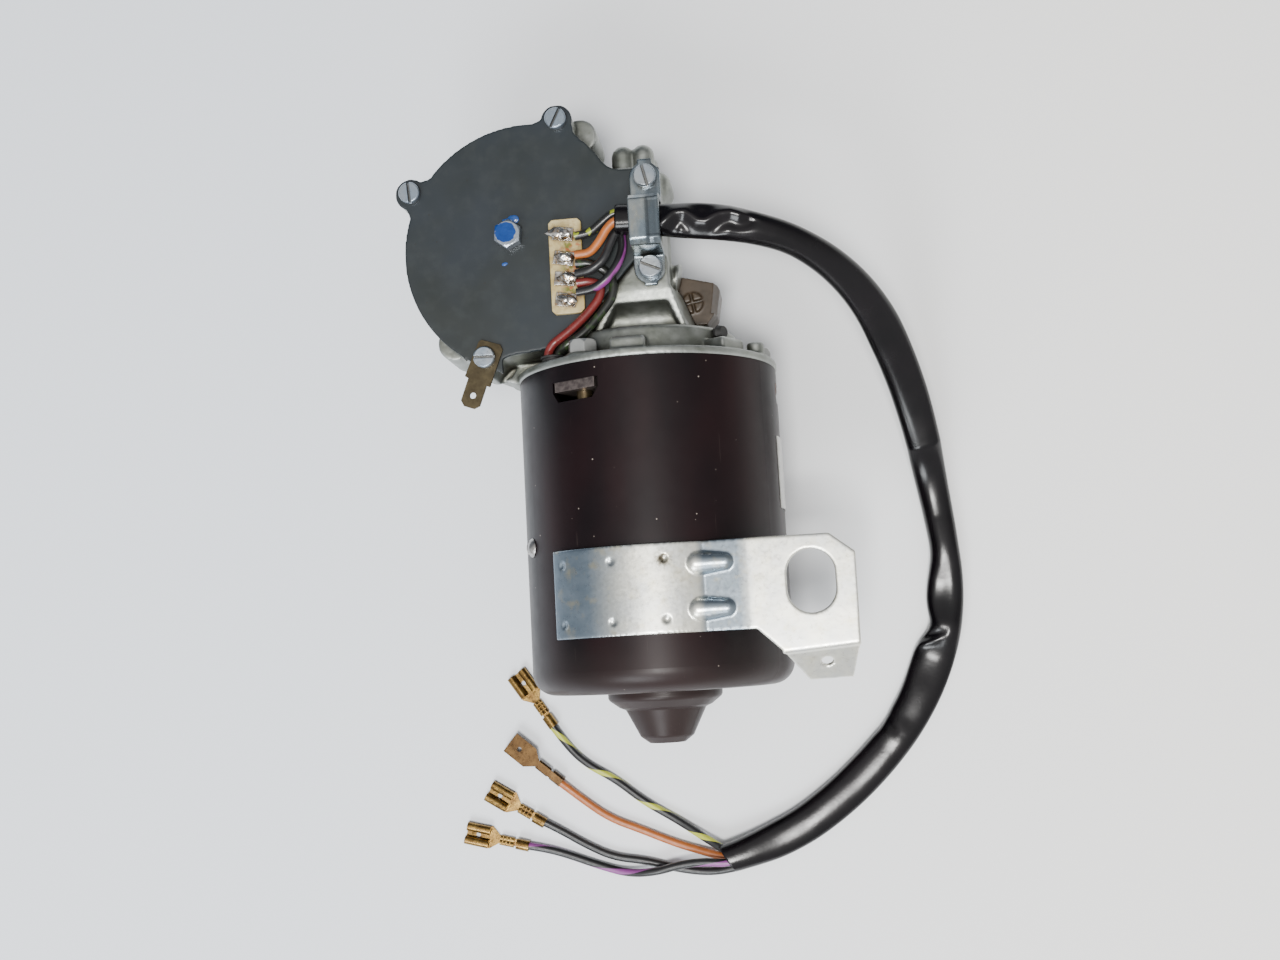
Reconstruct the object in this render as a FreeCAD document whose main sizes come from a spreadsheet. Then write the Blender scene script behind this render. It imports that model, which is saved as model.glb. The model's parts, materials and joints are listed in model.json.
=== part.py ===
import FreeCAD, Part
import math
import os
import Sketcher
from FreeCAD import Placement, Rotation, Vector

# Worm-geared DC motor for a small shutter drive, lying on its side.
#
# The armature turns about a horizontal axis along Y; its worm drives a wheel whose
# vertical shaft leaves the housing downwards. Positions in this file are counted from
# the motor axis in x, from the can's open rim in y (gearbox at +y) and from the end of
# the output shaft in z. The whole motor is then moved by axis_x, rim_y and rest_z, which
# puts the document's origin on the plane that the flange rests on, under the middle of
# the motor without its harness.

SIZES = {
    "axis_x": 7.05, "rim_y": 14.7, "rest_z": 1.6, "axis_height": 40,
    # motor can and field
    "can_radius": 41.3, "can_wall": 2, "can_length": 99.1, "can_edge": 7,
    "nose_radius": 18.1, "nose_end": 115.5,
    "window_wide": 16.6, "window_narrow": 12.4, "window_near": 5, "window_far": 11.2,
    "bolt_circle": 35.6, "bolt_radius": 2.5, "bolt_across": 8, "bolt_head": 4,
    "bolt_angle": 117, "bolt_end": 13, "bolt_seat": 3.6,
    "nut_wide": 14.5, "nut_thick": 3, "nut_inner": 30.9, "nut_outer": 40.9,
    "pole_angle": 152.4, "pole_middle": 53.4, "pole_long": 54, "pole_screw": 2.4,
    "shoe_inner": 28.8, "shoe_outer": 31.2, "shoe_span": 104,
    "coil_inner": 31.4, "coil_outer": 38.8, "coil_span": 100, "coil_long": 66,
    # armature
    "shaft_radius": 4, "core_radius": 28, "slot_count": 12, "slot_wide": 4, "slot_deep": 11,
    "commutator_radius": 12, "commutator_near": 2, "commutator_far": 12,
    "running_gap": 0.05, "press_gap": 0.02,
    # gearing
    "gear_x": -38.7, "gear_y": 44.6, "module": 1, "wheel_teeth": 63,
    "worm_pitch": 7.2, "addendum": 0.8, "dedendum": 1.1, "tooth_half": 0.66,
    "wheel_low": 37, "wheel_high": 43, "hub_radius": 10,
    "output_radius": 6, "output_top": 50.1, "boss_low": 12, "boss_radius": 11,
    "mount_circle": 48, "mount_low": 14, "mount_thread": 2.5, "mount_depth": 10,
    # gear housing and cover
    "flange_radius": 41.6, "flange_thick": 2.5, "ring_radius": 28.3, "ring_top": 12,
    "cup_x": -32.4, "cup_y": 40.5, "cover_radius": 40.2, "cup_wall": 2.6,
    "cup_floor": 25, "cup_inside": 28, "cup_lip": 62, "gasket_thick": 0.4, "cover_thick": 1.6,
    "lobe_radius": 5, "deck_top": 63.2, "tube_radius": 9.9, "tube_bore": 8.3,
    # small parts on the cover
    "screw_head": 3.35, "screw_head_high": 2.4, "screw_core": 2,
    "strip_x": -26, "strip_y": 18, "strip_wide": 10.4, "strip_long": 30.2, "strip_thick": 1.9,
    "clamp_wide": 9.5, "clamp_thick": 1.2, "clamp_rise": 9.2,
    "tab_thick": 0.8,
    # bracket
    "bracket_thick": 1.2, "strap_near": 56.1, "strap_far": 82.2, "plate_low": 79.2,
    "opening_wide": 14.2, "opening_long": 18.6, "opening_x": 47.9, "opening_y": -69.4,
    "lip_hole": 1.8,
    # wires
    "lead_radius": 1.35, "sleeve_radius": 4.5,
}

SCREW_LOBES = [(-22.1, 81.1), (-70.0, 61.2), (-47.9, 6.2)]
CLAMP_SCREWS = [(5.2, 59.5), (5.3, 30.7)]
TAB_ROWS = [43.2, 35.4, 28.9, 22.2]

doc = FreeCAD.newDocument("ShutterMotor")
sheet = doc.addObject("Spreadsheet::Sheet", "Sizes")
for row, (alias, number) in enumerate(SIZES.items(), start=1):
    sheet.set("A%d" % row, alias)
    sheet.set("B%d" % row, str(number))
    sheet.setAlias("B%d" % row, alias)
doc.recompute()

parts = []


# ---------------------------------------------------------------- document helpers

def size(alias):
    return float(sheet.get(alias))


def worth(wanted):
    """The number that a size, or an expression on the sheet, stands for."""
    if isinstance(wanted, str):
        return float(sheet.evalExpression(wanted))
    return float(wanted)


def keep(thing, label):
    thing.Label = label
    parts.append(thing)
    return thing


def drive(thing, name, wanted):
    """Set a property and, where an expression is given, tie it to the sheet."""
    setattr(thing, name, worth(wanted))
    if isinstance(wanted, str):
        thing.setExpression(name, wanted)


def stand(thing, x, y, z, turn=Rotation()):
    """Place a document object; x, y and z are numbers or expressions."""
    thing.Placement = Placement(Vector(), turn)
    thing.setExpression("Placement.Base.x", "Sizes.axis_x + (%s)" % x)
    thing.setExpression("Placement.Base.y", "Sizes.rim_y + (%s)" % y)
    thing.setExpression("Placement.Base.z", "Sizes.rest_z + (%s)" % z)
    return thing


def solid(label, shape):
    """A sub-part whose shape is worked out in code, in the motor's own coordinates."""
    thing = doc.addObject("Part::Feature", label)
    thing.Shape = shape
    shift = Placement(Vector(size("axis_x"), size("rim_y"), size("rest_z")), Rotation())
    thing.Placement = shift.multiply(shape.Placement)
    return keep(thing, label)


def new_body(label, x, y, z, turn=Rotation()):
    made = doc.addObject("PartDesign::Body", label + "_body")
    stand(made, x, y, z, turn)
    return keep(made, label)


def origin_item(made, role):
    for item in made.Origin.OriginFeatures:
        if item.Role == role:
            return item
    raise ValueError(role)


def new_sketch(made, role, name, height=0, turn=Rotation()):
    drawn = made.newObject("Sketcher::SketchObject", name)
    drawn.AttachmentSupport = [(origin_item(made, role), "")]
    drawn.MapMode = "FlatFace"
    drawn.AttachmentOffset = Placement(Vector(0, 0, worth(height)), turn)
    if isinstance(height, str):
        drawn.setExpression("AttachmentOffset.Base.z", height)
    return drawn


def tie(drawn, kind, item, end, wanted):
    """Hold one coordinate of a sketch point; zero puts the point on the axis."""
    number = worth(wanted)
    if number == 0:
        axis = -2 if kind == "DistanceX" else -1
        drawn.addConstraint(Sketcher.Constraint("PointOnObject", item, end, axis))
        return
    index = drawn.addConstraint(Sketcher.Constraint(kind, -1, 1, item, end, number))
    if isinstance(wanted, str):
        drawn.setExpression("Constraints[%d]" % index, wanted)


def outline(drawn, corners):
    """A closed outline of straight lines, every corner tied to the sheet."""
    spots = [Vector(worth(x), worth(y), 0) for x, y in corners]
    first = drawn.GeometryCount
    count = len(spots)
    for i in range(count):
        drawn.addGeometry(Part.LineSegment(spots[i], spots[(i + 1) % count]), False)
    for i in range(count):
        following = first + (i + 1) % count
        drawn.addConstraint(Sketcher.Constraint("Coincident", first + i, 2, following, 1))
    for i, (x, y) in enumerate(corners):
        tie(drawn, "DistanceX", first + i, 1, x)
        tie(drawn, "DistanceY", first + i, 1, y)


def circle(drawn, x, y, radius):
    ring = Part.Circle(Vector(worth(x), worth(y), 0), Vector(0, 0, 1), worth(radius))
    item = drawn.addGeometry(ring, False)
    tie(drawn, "DistanceX", item, 3, x)
    tie(drawn, "DistanceY", item, 3, y)
    index = drawn.addConstraint(Sketcher.Constraint("Radius", item, worth(radius)))
    if isinstance(radius, str):
        drawn.setExpression("Constraints[%d]" % index, radius)


def pad(made, drawn, name, length):
    grown = made.newObject("PartDesign::Pad", name)
    grown.Profile = drawn
    drive(grown, "Length", length)
    return grown


def revolve(made, drawn, name):
    turned = made.newObject("PartDesign::Revolution", name)
    turned.Profile = drawn
    turned.ReferenceAxis = (drawn, ["V_Axis"])
    turned.Angle = 360
    return turned


def pocket_through(made, drawn, name, reverse=False):
    """Cut right through from the sketch, and make sure that something was cut."""
    doc.recompute()
    before = made.Shape.Volume
    cut = made.newObject("PartDesign::Pocket", name)
    cut.Profile = drawn
    cut.Type = "ThroughAll"
    cut.Reversed = reverse
    doc.recompute()
    if not made.Shape.Volume < before:
        raise ValueError("%s cuts nothing" % name)
    return cut


def polar(made, originals, name, role, count):
    turned = made.newObject("PartDesign::PolarPattern", name)
    turned.Originals = originals
    turned.Axis = (origin_item(made, role), [""])
    turned.Angle = 360
    turned.Occurrences = int(count)
    made.Tip = turned
    return turned


def round_edges(made, name, radius, wanted):
    """Fillet the circular edges of a turned body that have the radii and heights given."""
    doc.recompute()
    base = made.Tip
    names = []
    for i, edge in enumerate(base.Shape.Edges, start=1):
        curve = edge.Curve
        if not isinstance(curve, Part.Circle):
            continue
        for edge_radius, height in wanted:
            if abs(curve.Radius - edge_radius) < 0.01 and abs(curve.Center.y - height) < 0.01:
                names.append("Edge%d" % i)
    if len(names) < len(wanted):
        raise ValueError("%s misses an edge" % name)
    fillet = made.newObject("PartDesign::Fillet", name)
    fillet.Base = (base, names)
    drive(fillet, "Radius", radius)
    return fillet


def primitive(kind, name, **properties):
    made = doc.addObject("Part::" + kind, name)
    for prop, wanted in properties.items():
        drive(made, prop, wanted)
    return made


def joined(kind, name, base, tool):
    made = doc.addObject("Part::" + kind, name)
    made.Base = base
    made.Tool = tool
    return made


# ---------------------------------------------------------------- shape helpers

AXIS = Vector(0, 0, size("axis_height"))
Y_AXIS = Vector(0, 1, 0)
Z_AXIS = Vector(0, 0, 1)
TO_Y = Rotation(Vector(1, 0, 0), -90)


def rod(radius, start, end):
    start = Vector(*start)
    run = Vector(*end) - start
    return Part.makeCylinder(radius, run.Length, start, run)


def block(low, high):
    low = Vector(*low)
    run = Vector(*high) - low
    return Part.makeBox(run.x, run.y, run.z, low)


def prism(corners, low, high):
    """An upright prism on a plan of (x, y) corners."""
    spots = [Vector(x, y, low) for x, y in corners]
    return Part.Face(Part.makePolygon(spots + spots[:1])).extrude(Vector(0, 0, high - low))


def side_prism(corners, left, right):
    """A prism along x on a side view of (y, z) corners."""
    spots = [Vector(left, y, z) for y, z in corners]
    return Part.Face(Part.makePolygon(spots + spots[:1])).extrude(Vector(right - left, 0, 0))


def turned_y(profile):
    """A solid turned about the motor axis from (radius, y) points."""
    spots = [Vector(radius, y, AXIS.z) for radius, y in profile]
    return Part.Face(Part.makePolygon(spots + spots[:1])).revolve(AXIS, Y_AXIS, 360)


def turned_z(profile, x, y):
    """A solid turned about an upright axis from (radius, z) points."""
    spots = [Vector(x + radius, y, z) for radius, z in profile]
    return Part.Face(Part.makePolygon(spots + spots[:1])).revolve(Vector(x, y, 0), Z_AXIS, 360)


def around(shape, angle):
    """Turn a shape that points along +x about the motor axis, towards +z for plus angles."""
    turned = shape.copy()
    turned.rotate(AXIS, Y_AXIS, -angle)
    return turned


def on_circle(radius, angle):
    """The x and z of a point about the motor axis."""
    turn = math.radians(angle)
    return radius * math.cos(turn), AXIS.z + radius * math.sin(turn)


def arc_band(inner, outer, low_angle, high_angle, near, far):
    """A curved slab about the motor axis, from y = near back to y = far."""
    ring = turned_y([(inner, far), (outer, far), (outer, near), (inner, near)])
    reach = 2 * outer
    wedge = Part.makeCylinder(reach, near - far, Vector(0, far, AXIS.z), Y_AXIS,
                              high_angle - low_angle)
    # a cylinder sector about +y starts at +z and grows towards +x
    wedge.rotate(AXIS, Y_AXIS, 90 - high_angle)
    return ring.common(wedge)


def hexagon(across, low, high, x, y):
    corner = across / math.sqrt(3)
    plan = [(x + corner * math.cos(math.radians(60 * k)),
             y + corner * math.sin(math.radians(60 * k))) for k in range(6)]
    return prism(plan, low, high)


def group(shapes):
    return Part.makeCompound(shapes)


# ---------------------------------------------------------------- motor can

def motor_can():
    """Deep-drawn can, bearing nose at its closed end, windows for the bolt nuts."""
    made = new_body("motor_can", "0", "0", "Sizes.axis_height",
                    Rotation(Y_AXIS, 90 - size("bolt_angle")))
    drawn = new_sketch(made, "XY_Plane", "can_profile")
    inner = "Sizes.can_radius - Sizes.can_wall"
    end = "-Sizes.can_length"
    inner_end = "Sizes.can_wall - Sizes.can_length"
    outline(drawn, [
        (inner, 0), ("Sizes.can_radius", 0), ("Sizes.can_radius", end),
        ("Sizes.nose_radius", end), ("Sizes.nose_radius", "-Sizes.can_length - 2.5"),
        ("14.6", "-Sizes.nose_end + 11.3"), ("12.7", "-Sizes.nose_end + 10.5"),
        ("8.4", "-Sizes.nose_end + 2"), ("5.7", "-Sizes.nose_end"), (0, "-Sizes.nose_end"),
        (0, "-Sizes.nose_end + 2"), ("5.0", "-Sizes.nose_end + 2"),
        ("6.6", "-Sizes.nose_end + 3.3"), ("10.7", "-Sizes.nose_end + 11.5"),
        ("Sizes.nose_radius - 2", "-Sizes.can_length - 1.9"),
        ("Sizes.nose_radius - 2", inner_end), (inner, inner_end)])
    revolve(made, drawn, "can_turned")
    nose, length = size("nose_end"), size("can_length")
    round_edges(made, "can_outer_edge", "Sizes.can_edge", [(size("can_radius"), -length)])
    round_edges(made, "can_inner_edge", "Sizes.can_edge - Sizes.can_wall",
                [(size("can_radius") - size("can_wall"), size("can_wall") - length)])
    round_edges(made, "nose_shoulder", 1.8, [(size("nose_radius"), -length - 2.5)])
    round_edges(made, "nose_tip", 1.6, [(8.4, 2 - nose)])
    window = new_sketch(made, "XY_Plane", "window_outline")
    wide, narrow = "Sizes.window_wide / 2", "Sizes.window_narrow / 2"
    outline(window, [
        ("-" + wide, "-Sizes.window_near"), (wide, "-Sizes.window_near"),
        (wide, "-Sizes.window_far + 3"), (narrow, "-Sizes.window_far"),
        ("-" + narrow, "-Sizes.window_far"), ("-" + wide, "-Sizes.window_far + 3")])
    cut = pocket_through(made, window, "window", reverse=True)
    polar(made, [cut], "windows", "Y_Axis", 3)
    lean = Rotation(Y_AXIS, size("bolt_angle") - size("pole_angle"))
    for side, reverse in (("upper", False), ("lower", True)):
        hole = new_sketch(made, "XY_Plane", "pole_hole_" + side, 0, lean)
        circle(hole, 0, "-Sizes.pole_middle", "Sizes.pole_screw + 0.1")
        pocket_through(made, hole, "pole_drill_" + side, reverse)


def nameplate():
    """A blank label wrapped round the side of the can."""
    radius = size("can_radius") + size("press_gap")
    solid("nameplate", arc_band(radius, radius + 0.35, -30, 13, -22.4, -45))


def through_bolts():
    """Three hexagon bolts through the flange into the nuts behind the can's windows."""
    circle_radius, radius = size("bolt_circle"), size("bolt_radius")
    seat, head = size("bolt_seat"), size("bolt_head")
    bolts, nuts = [], []
    half = size("nut_wide") / 2
    nut_top = -size("window_near")
    for k in range(3):
        angle = size("bolt_angle") - 120 * k
        shank = rod(radius, (circle_radius, -size("bolt_end"), AXIS.z),
                    (circle_radius, seat + 0.1, AXIS.z))
        hexed = hexagon(size("bolt_across"), 0, head, 0, 0)
        chamfer = Part.makeCone(size("bolt_across") / 2 + 1.8, size("bolt_across") / 2 - 0.2, head + 0.6)
        hexed = hexed.common(chamfer)
        hexed.rotate(Vector(), Z_AXIS, 42)
        place = Placement(Vector(circle_radius, seat, AXIS.z), TO_Y)
        hexed.Placement = place.multiply(hexed.Placement)
        bolts.append(around(shank.fuse(hexed).removeSplitter(), angle))
        nut = block((size("nut_inner"), nut_top - size("nut_thick"), AXIS.z - half),
                    (size("nut_outer"), nut_top, AXIS.z + half))
        hole = rod(radius + 0.1, (circle_radius, nut_top - 20, AXIS.z),
                   (circle_radius, nut_top + 20, AXIS.z))
        nuts.append(around(nut.cut(hole), angle))
    solid("through_bolts", group(bolts))
    solid("bolt_nuts", group(nuts))


def field():
    """Two pole shoes with their coils, each held by a screw from outside the can."""
    middle, half = -size("pole_middle"), size("pole_long") / 2
    can_inner = size("can_radius") - size("can_wall") - size("press_gap")
    span, coil_span = size("shoe_span") / 2, size("coil_span") / 2
    shank = size("pole_screw")
    shoes, coils, screws = [], [], []
    for angle in (size("pole_angle"), size("pole_angle") + 180):
        shoe = arc_band(size("shoe_inner"), size("shoe_outer"), -span, span,
                        middle + half, middle - half)
        core = block((size("shoe_outer") - 1, middle - 20, AXIS.z - 9),
                     (size("can_radius"), middle + 20, AXIS.z + 9))
        core = core.common(rod(can_inner, (0, middle - 30, AXIS.z), (0, middle + 30, AXIS.z)))
        bore = rod(shank + 0.05, (0, middle, AXIS.z), (size("can_radius"), middle, AXIS.z))
        shoes.append(around(shoe.fuse(core).cut(bore), angle))
        coil = arc_band(size("coil_inner"), size("coil_outer"), -coil_span, coil_span,
                        middle + size("coil_long") / 2, middle - size("coil_long") / 2)
        gap = block((0, middle - 21, AXIS.z - 10), (size("can_radius"), middle + 21, AXIS.z + 10))
        coils.append(around(coil.cut(gap), angle))
        screw = rod(shank, (size("shoe_outer"), middle, AXIS.z),
                    (size("can_radius") + 0.2, middle, AXIS.z))
        dome = Part.makeSphere(3.4, Vector(size("can_radius") - 1.5, middle, AXIS.z))
        dome = dome.common(block((size("can_radius") + 0.05, middle - 4, AXIS.z - 4),
                                 (size("can_radius") + 4, middle + 4, AXIS.z + 4)))
        slot = block((size("can_radius") + 1.0, middle - 4, AXIS.z - 0.4),
                     (size("can_radius") + 4, middle + 4, AXIS.z + 0.4))
        screws.append(around(screw.fuse(dome).cut(slot), angle))
    solid("pole_shoes", group(shoes))
    solid("field_coils", group(coils))
    solid("pole_screws", group(screws))


# ---------------------------------------------------------------- armature

def armature_shaft():
    made = new_body("armature_shaft", "0", "0", "Sizes.axis_height")
    drawn = new_sketch(made, "XY_Plane", "shaft_profile")
    radius = "Sizes.shaft_radius"
    outline(drawn, [
        (0, -108.8), (2.05, -108.8), (2.05, -111.4), ("Sizes.shaft_radius - 0.8", -111.4),
        (radius, -110.6), (radius, 64.0), ("Sizes.shaft_radius - 0.8", 64.8), (0, 64.8)])
    revolve(made, drawn, "shaft_turned")
    ball = primitive("Sphere", "ball", Radius=2)
    stand(ball, "0", "-111.4", "Sizes.axis_height")
    keep(ball, "thrust_ball")


def armature_core():
    """The stack of slotted sheets on the shaft."""
    made = new_body("armature_core", "0", "-Sizes.pole_middle", "Sizes.axis_height", TO_Y)
    drawn = new_sketch(made, "XY_Plane", "core_plan", "-Sizes.pole_long / 2")
    circle(drawn, 0, 0, "Sizes.core_radius")
    circle(drawn, 0, 0, "Sizes.shaft_radius + Sizes.press_gap")
    pad(made, drawn, "core_stack", "Sizes.pole_long")
    slot = new_sketch(made, "XY_Plane", "slot_plan", "Sizes.pole_long / 2 + 1")
    half = "Sizes.slot_wide / 2"
    bottom = "Sizes.core_radius - Sizes.slot_deep"
    outline(slot, [
        (bottom, "-" + half), ("Sizes.core_radius - 2", "-" + half),
        ("Sizes.core_radius - 1.2", -1.2), ("Sizes.core_radius + 1", -1.2),
        ("Sizes.core_radius + 1", 1.2), ("Sizes.core_radius - 1.2", 1.2),
        ("Sizes.core_radius - 2", half), (bottom, half)])
    cut = pocket_through(made, slot, "slot")
    polar(made, [cut], "slots", "Z_Axis", size("slot_count"))


def armature_winding():
    """Enamelled wire: a bar in every slot and a rounded end turn at each end."""
    middle, half = -size("pole_middle"), size("pole_long") / 2
    outer = size("core_radius") - 2.4
    inner = size("core_radius") - size("slot_deep") + 0.3
    side = size("slot_wide") / 2 - 0.2
    front = turned_y([(6, middle + half + 0.1), (outer, middle + half + 0.1),
                      (outer, middle + half + 7), (outer - 3.5, middle + half + 10.5),
                      (15.5, middle + half + 12), (6, middle + half + 12)])
    back = turned_y([(6, middle - half - 0.1), (outer, middle - half - 0.1),
                     (outer, middle - half - 6), (outer - 4, middle - half - 9.5), (6, middle - half - 10)])
    whole = front.fuse(back)
    for k in range(int(size("slot_count"))):
        bar = block((inner, middle - half - 1, AXIS.z - side), (outer, middle + half + 1, AXIS.z + side))
        whole = whole.fuse(around(bar, 360 * k / size("slot_count")))
    solid("armature_winding", whole)


def commutator():
    near, far = size("commutator_near"), -size("commutator_far")
    radius = size("commutator_radius")
    bore = size("shaft_radius") + size("press_gap")
    drum = turned_y([(bore, far), (radius + 2, far), (radius + 2, far + 2), (radius, far + 2.6),
                     (radius, near), (bore, near)])
    for k in range(24):
        groove = block((radius - 1.2, far - 1, AXIS.z - 0.3), (radius + 3, near + 1, AXIS.z + 0.3))
        drum = drum.cut(around(groove, 15 * k))
    solid("commutator", drum)


def worm():
    """Single-start right-hand worm; a thread stands in the wheel's gap at rest."""
    pitch = math.pi * size("module")
    pitch_radius = size("worm_pitch")
    outer = pitch_radius + size("addendum")
    core = pitch_radius - size("dedendum")
    root = core - 0.2
    slope = math.tan(math.radians(20))
    tip_half = size("tooth_half") - size("addendum") * slope
    root_half = size("tooth_half") + (pitch_radius - root) * slope
    turns = 8
    start = -turns / 2 * pitch
    helix = Part.makeHelix(pitch, turns * pitch, root)
    helix.translate(Vector(0, 0, start))
    corners = [Vector(root, 0, start - root_half), Vector(outer, 0, start - tip_half),
               Vector(outer, 0, start + tip_half), Vector(root, 0, start + root_half)]
    profile = Part.makePolygon(corners + corners[:1])
    thread = Part.Wire(helix).makePipeShell([profile], True, True)
    length = 28
    drum = Part.makeCylinder(core, length, Vector(0, 0, -length / 2))
    bore = Part.makeCylinder(size("shaft_radius") + size("press_gap"), length + 2,
                             Vector(0, 0, -length / 2 - 1))
    whole = drum.fuse(thread).cut(bore)
    whole.rotate(Vector(), Z_AXIS, 180)
    whole.Placement = Placement(Vector(0, size("gear_y"), AXIS.z), TO_Y).multiply(whole.Placement)
    solid("worm", whole)


# ---------------------------------------------------------------- bearings and brushes

def rear_bearing():
    """Self-aligning sintered bush in the nose and the spring disc that holds it."""
    made = new_body("rear_bearing", "0", "-Sizes.nose_end + 11", "Sizes.axis_height")
    drawn = new_sketch(made, "XY_Plane", "bush_profile")
    bore = "Sizes.shaft_radius + Sizes.running_gap"
    outline(drawn, [(bore, -4.5), (7.6, -4.5), (8.9, -1.6), (8.9, 1.6), (7.6, 4.5), (bore, 4.5)])
    revolve(made, drawn, "bush_turned")
    outer = primitive("Cylinder", "retainer_disc", Radius="Sizes.nose_radius - 2.1", Height=0.8)
    stand(outer, "0", "-Sizes.can_length + 0.2", "Sizes.axis_height", TO_Y)
    inner = primitive("Cylinder", "retainer_bore", Radius=7.2, Height=4)
    stand(inner, "0", "-Sizes.can_length - 1", "Sizes.axis_height", TO_Y)
    keep(joined("Cut", "retainer", outer, inner), "bearing_retainer")


def front_bearing():
    """Ball bearing in the neck of the gear housing: two rings and their balls."""
    near, far = 13.0, 20.0
    outer = turned_y([(9.2, near), (10.98, near), (10.98, far), (9.2, far)])
    inner_bore = size("shaft_radius") + size("running_gap")
    inner = turned_y([(inner_bore, near), (5.8, near), (5.8, far), (inner_bore, far)])
    balls = []
    for k in range(7):
        x, z = on_circle(7.5, 360 * k / 7)
        balls.append(Part.makeSphere(1.66, Vector(x, (near + far) / 2, z)))
    solid("front_bearing", group([outer, inner] + balls))


def end_bearing():
    made = new_body("end_bearing", "0", "59.5", "Sizes.axis_height", TO_Y)
    drawn = new_sketch(made, "XY_Plane", "end_bush_plan")
    circle(drawn, 0, 0, 5.98)
    circle(drawn, 0, 0, "Sizes.shaft_radius + Sizes.running_gap")
    pad(made, drawn, "end_bush", 5.2)
    screw = rod(3.9, (0, 65.2, AXIS.z), (0, 71.5, AXIS.z))
    slot = block((-4, 70.2, AXIS.z - 0.5), (4, 72, AXIS.z + 0.5))
    solid("thrust_screw", screw.cut(slot))


def brush_gear():
    """Insulating plate in the dome with two brush boxes, carbon brushes and springs."""
    near, far = 7.7, 9.15
    plate = turned_y([(13.5, near), (25.6, near), (25.6, far), (13.5, far)])
    solid("brush_plate", plate)
    boxes, brushes, springs = [], [], []
    start, end = 13.4, 25.2
    wide, deep = 4.0, 3.4
    middle = -1.0
    contact = size("commutator_radius") + size("running_gap")
    for angle in (28, 208):
        shell = block((start, middle - deep, AXIS.z - wide), (end, middle + deep, AXIS.z + wide))
        hollow = block((start - 1, middle - deep + 0.7, AXIS.z - wide + 0.7),
                       (end - 0.7, middle + deep - 0.7, AXIS.z + wide - 0.7))
        leg = block((end - 4, middle + deep - 0.1, AXIS.z - wide), (end, near, AXIS.z + wide))
        boxes.append(around(shell.cut(hollow).fuse(leg), angle))
        brush = block((contact - 1, middle - deep + 0.8, AXIS.z - wide + 0.8),
                      (20, middle + deep - 0.8, AXIS.z + wide - 0.8))
        brush = brush.cut(rod(contact, (0, middle - 9, AXIS.z), (0, middle + 9, AXIS.z)))
        brushes.append(around(brush, angle))
        coil = Part.makeHelix(1.1, 3.8, 1.8)
        corners = [Vector(x, 0, z) for x, z in ((1.55, -0.2), (2.05, -0.2), (2.05, 0.2), (1.55, 0.2))]
        spring = Part.Wire(coil).makePipeShell([Part.makePolygon(corners + corners[:1])], True, True)
        spring.Placement = Placement(Vector(20.26, middle, AXIS.z), Rotation(Y_AXIS, 90))
        springs.append(around(spring, angle))
    solid("brush_holders", group(boxes))
    solid("brushes", group(brushes))
    solid("brush_springs", group(springs))


# ---------------------------------------------------------------- gear train

def worm_wheel():
    """Sixty-three straight teeth; a gap faces the worm at rest."""
    count = int(size("wheel_teeth"))
    pitch_radius = size("module") * count / 2
    tip, root = pitch_radius + size("addendum"), pitch_radius - size("dedendum")
    slope = math.tan(math.radians(20))
    half = size("tooth_half")
    tip_turn = (half - size("addendum") * slope) / tip
    root_turn = (half + size("dedendum") * slope) / root
    spots = []
    for k in range(count):
        middle = 2 * math.pi * (k + 0.5) / count
        for radius, turn in ((root, -root_turn), (tip, -tip_turn), (tip, tip_turn), (root, root_turn)):
            spots.append(Vector(size("gear_x") + radius * math.cos(middle + turn),
                                size("gear_y") + radius * math.sin(middle + turn),
                                size("wheel_low")))
    plan = Part.Face(Part.makePolygon(spots + spots[:1]))
    wheel = plan.extrude(Vector(0, 0, size("wheel_high") - size("wheel_low")))
    bore = Part.makeCylinder(size("hub_radius") + size("press_gap"), 20,
                             Vector(size("gear_x"), size("gear_y"), size("wheel_low") - 5))
    solid("worm_wheel", wheel.cut(bore))


def wheel_hub():
    made = new_body("wheel_hub", "Sizes.gear_x", "Sizes.gear_y", "0")
    drawn = new_sketch(made, "XZ_Plane", "hub_profile")
    bore = "Sizes.output_radius + Sizes.press_gap"
    outline(drawn, [
        (bore, "Sizes.cup_inside + 0.2"), ("Sizes.hub_radius", "Sizes.cup_inside + 0.2"),
        ("Sizes.hub_radius", 45.5), ("Sizes.hub_radius - 1.5", 47), (bore, 47)])
    revolve(made, drawn, "hub_turned")


def contact_disc():
    """Brass ring on the wheel that the cover's contact springs run on."""
    outer = primitive("Cylinder", "disc_outer", Radius=24.5, Height=0.8)
    stand(outer, "Sizes.gear_x", "Sizes.gear_y", "Sizes.wheel_high")
    inner = primitive("Cylinder", "disc_inner", Radius=12, Height=3)
    stand(inner, "Sizes.gear_x", "Sizes.gear_y", "Sizes.wheel_high - 1")
    keep(joined("Cut", "disc", outer, inner), "contact_disc")


def output_shaft():
    """Hardened shaft with a driving flat and a circlip groove at its lower end."""
    made = new_body("output_shaft", "Sizes.gear_x", "Sizes.gear_y", "0")
    drawn = new_sketch(made, "XZ_Plane", "output_profile")
    radius = "Sizes.output_radius"
    groove = "Sizes.output_radius - 0.6"
    outline(drawn, [
        (0, 0), ("Sizes.output_radius - 0.8", 0), (radius, 0.8), (radius, "Sizes.boss_low - 2.1"),
        (groove, "Sizes.boss_low - 2.1"), (groove, "Sizes.boss_low - 0.9"),
        (radius, "Sizes.boss_low - 0.9"), (radius, "Sizes.output_top - 0.8"),
        ("Sizes.output_radius - 0.8", "Sizes.output_top"), (0, "Sizes.output_top")])
    revolve(made, drawn, "output_turned")
    flat = new_sketch(made, "XY_Plane", "flat_plan", 7)
    outline(flat, [("Sizes.output_radius - 0.8", -8), (12, -8), (12, 8),
                   ("Sizes.output_radius - 0.8", 8)])
    pocket_through(made, flat, "driving_flat")


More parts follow.
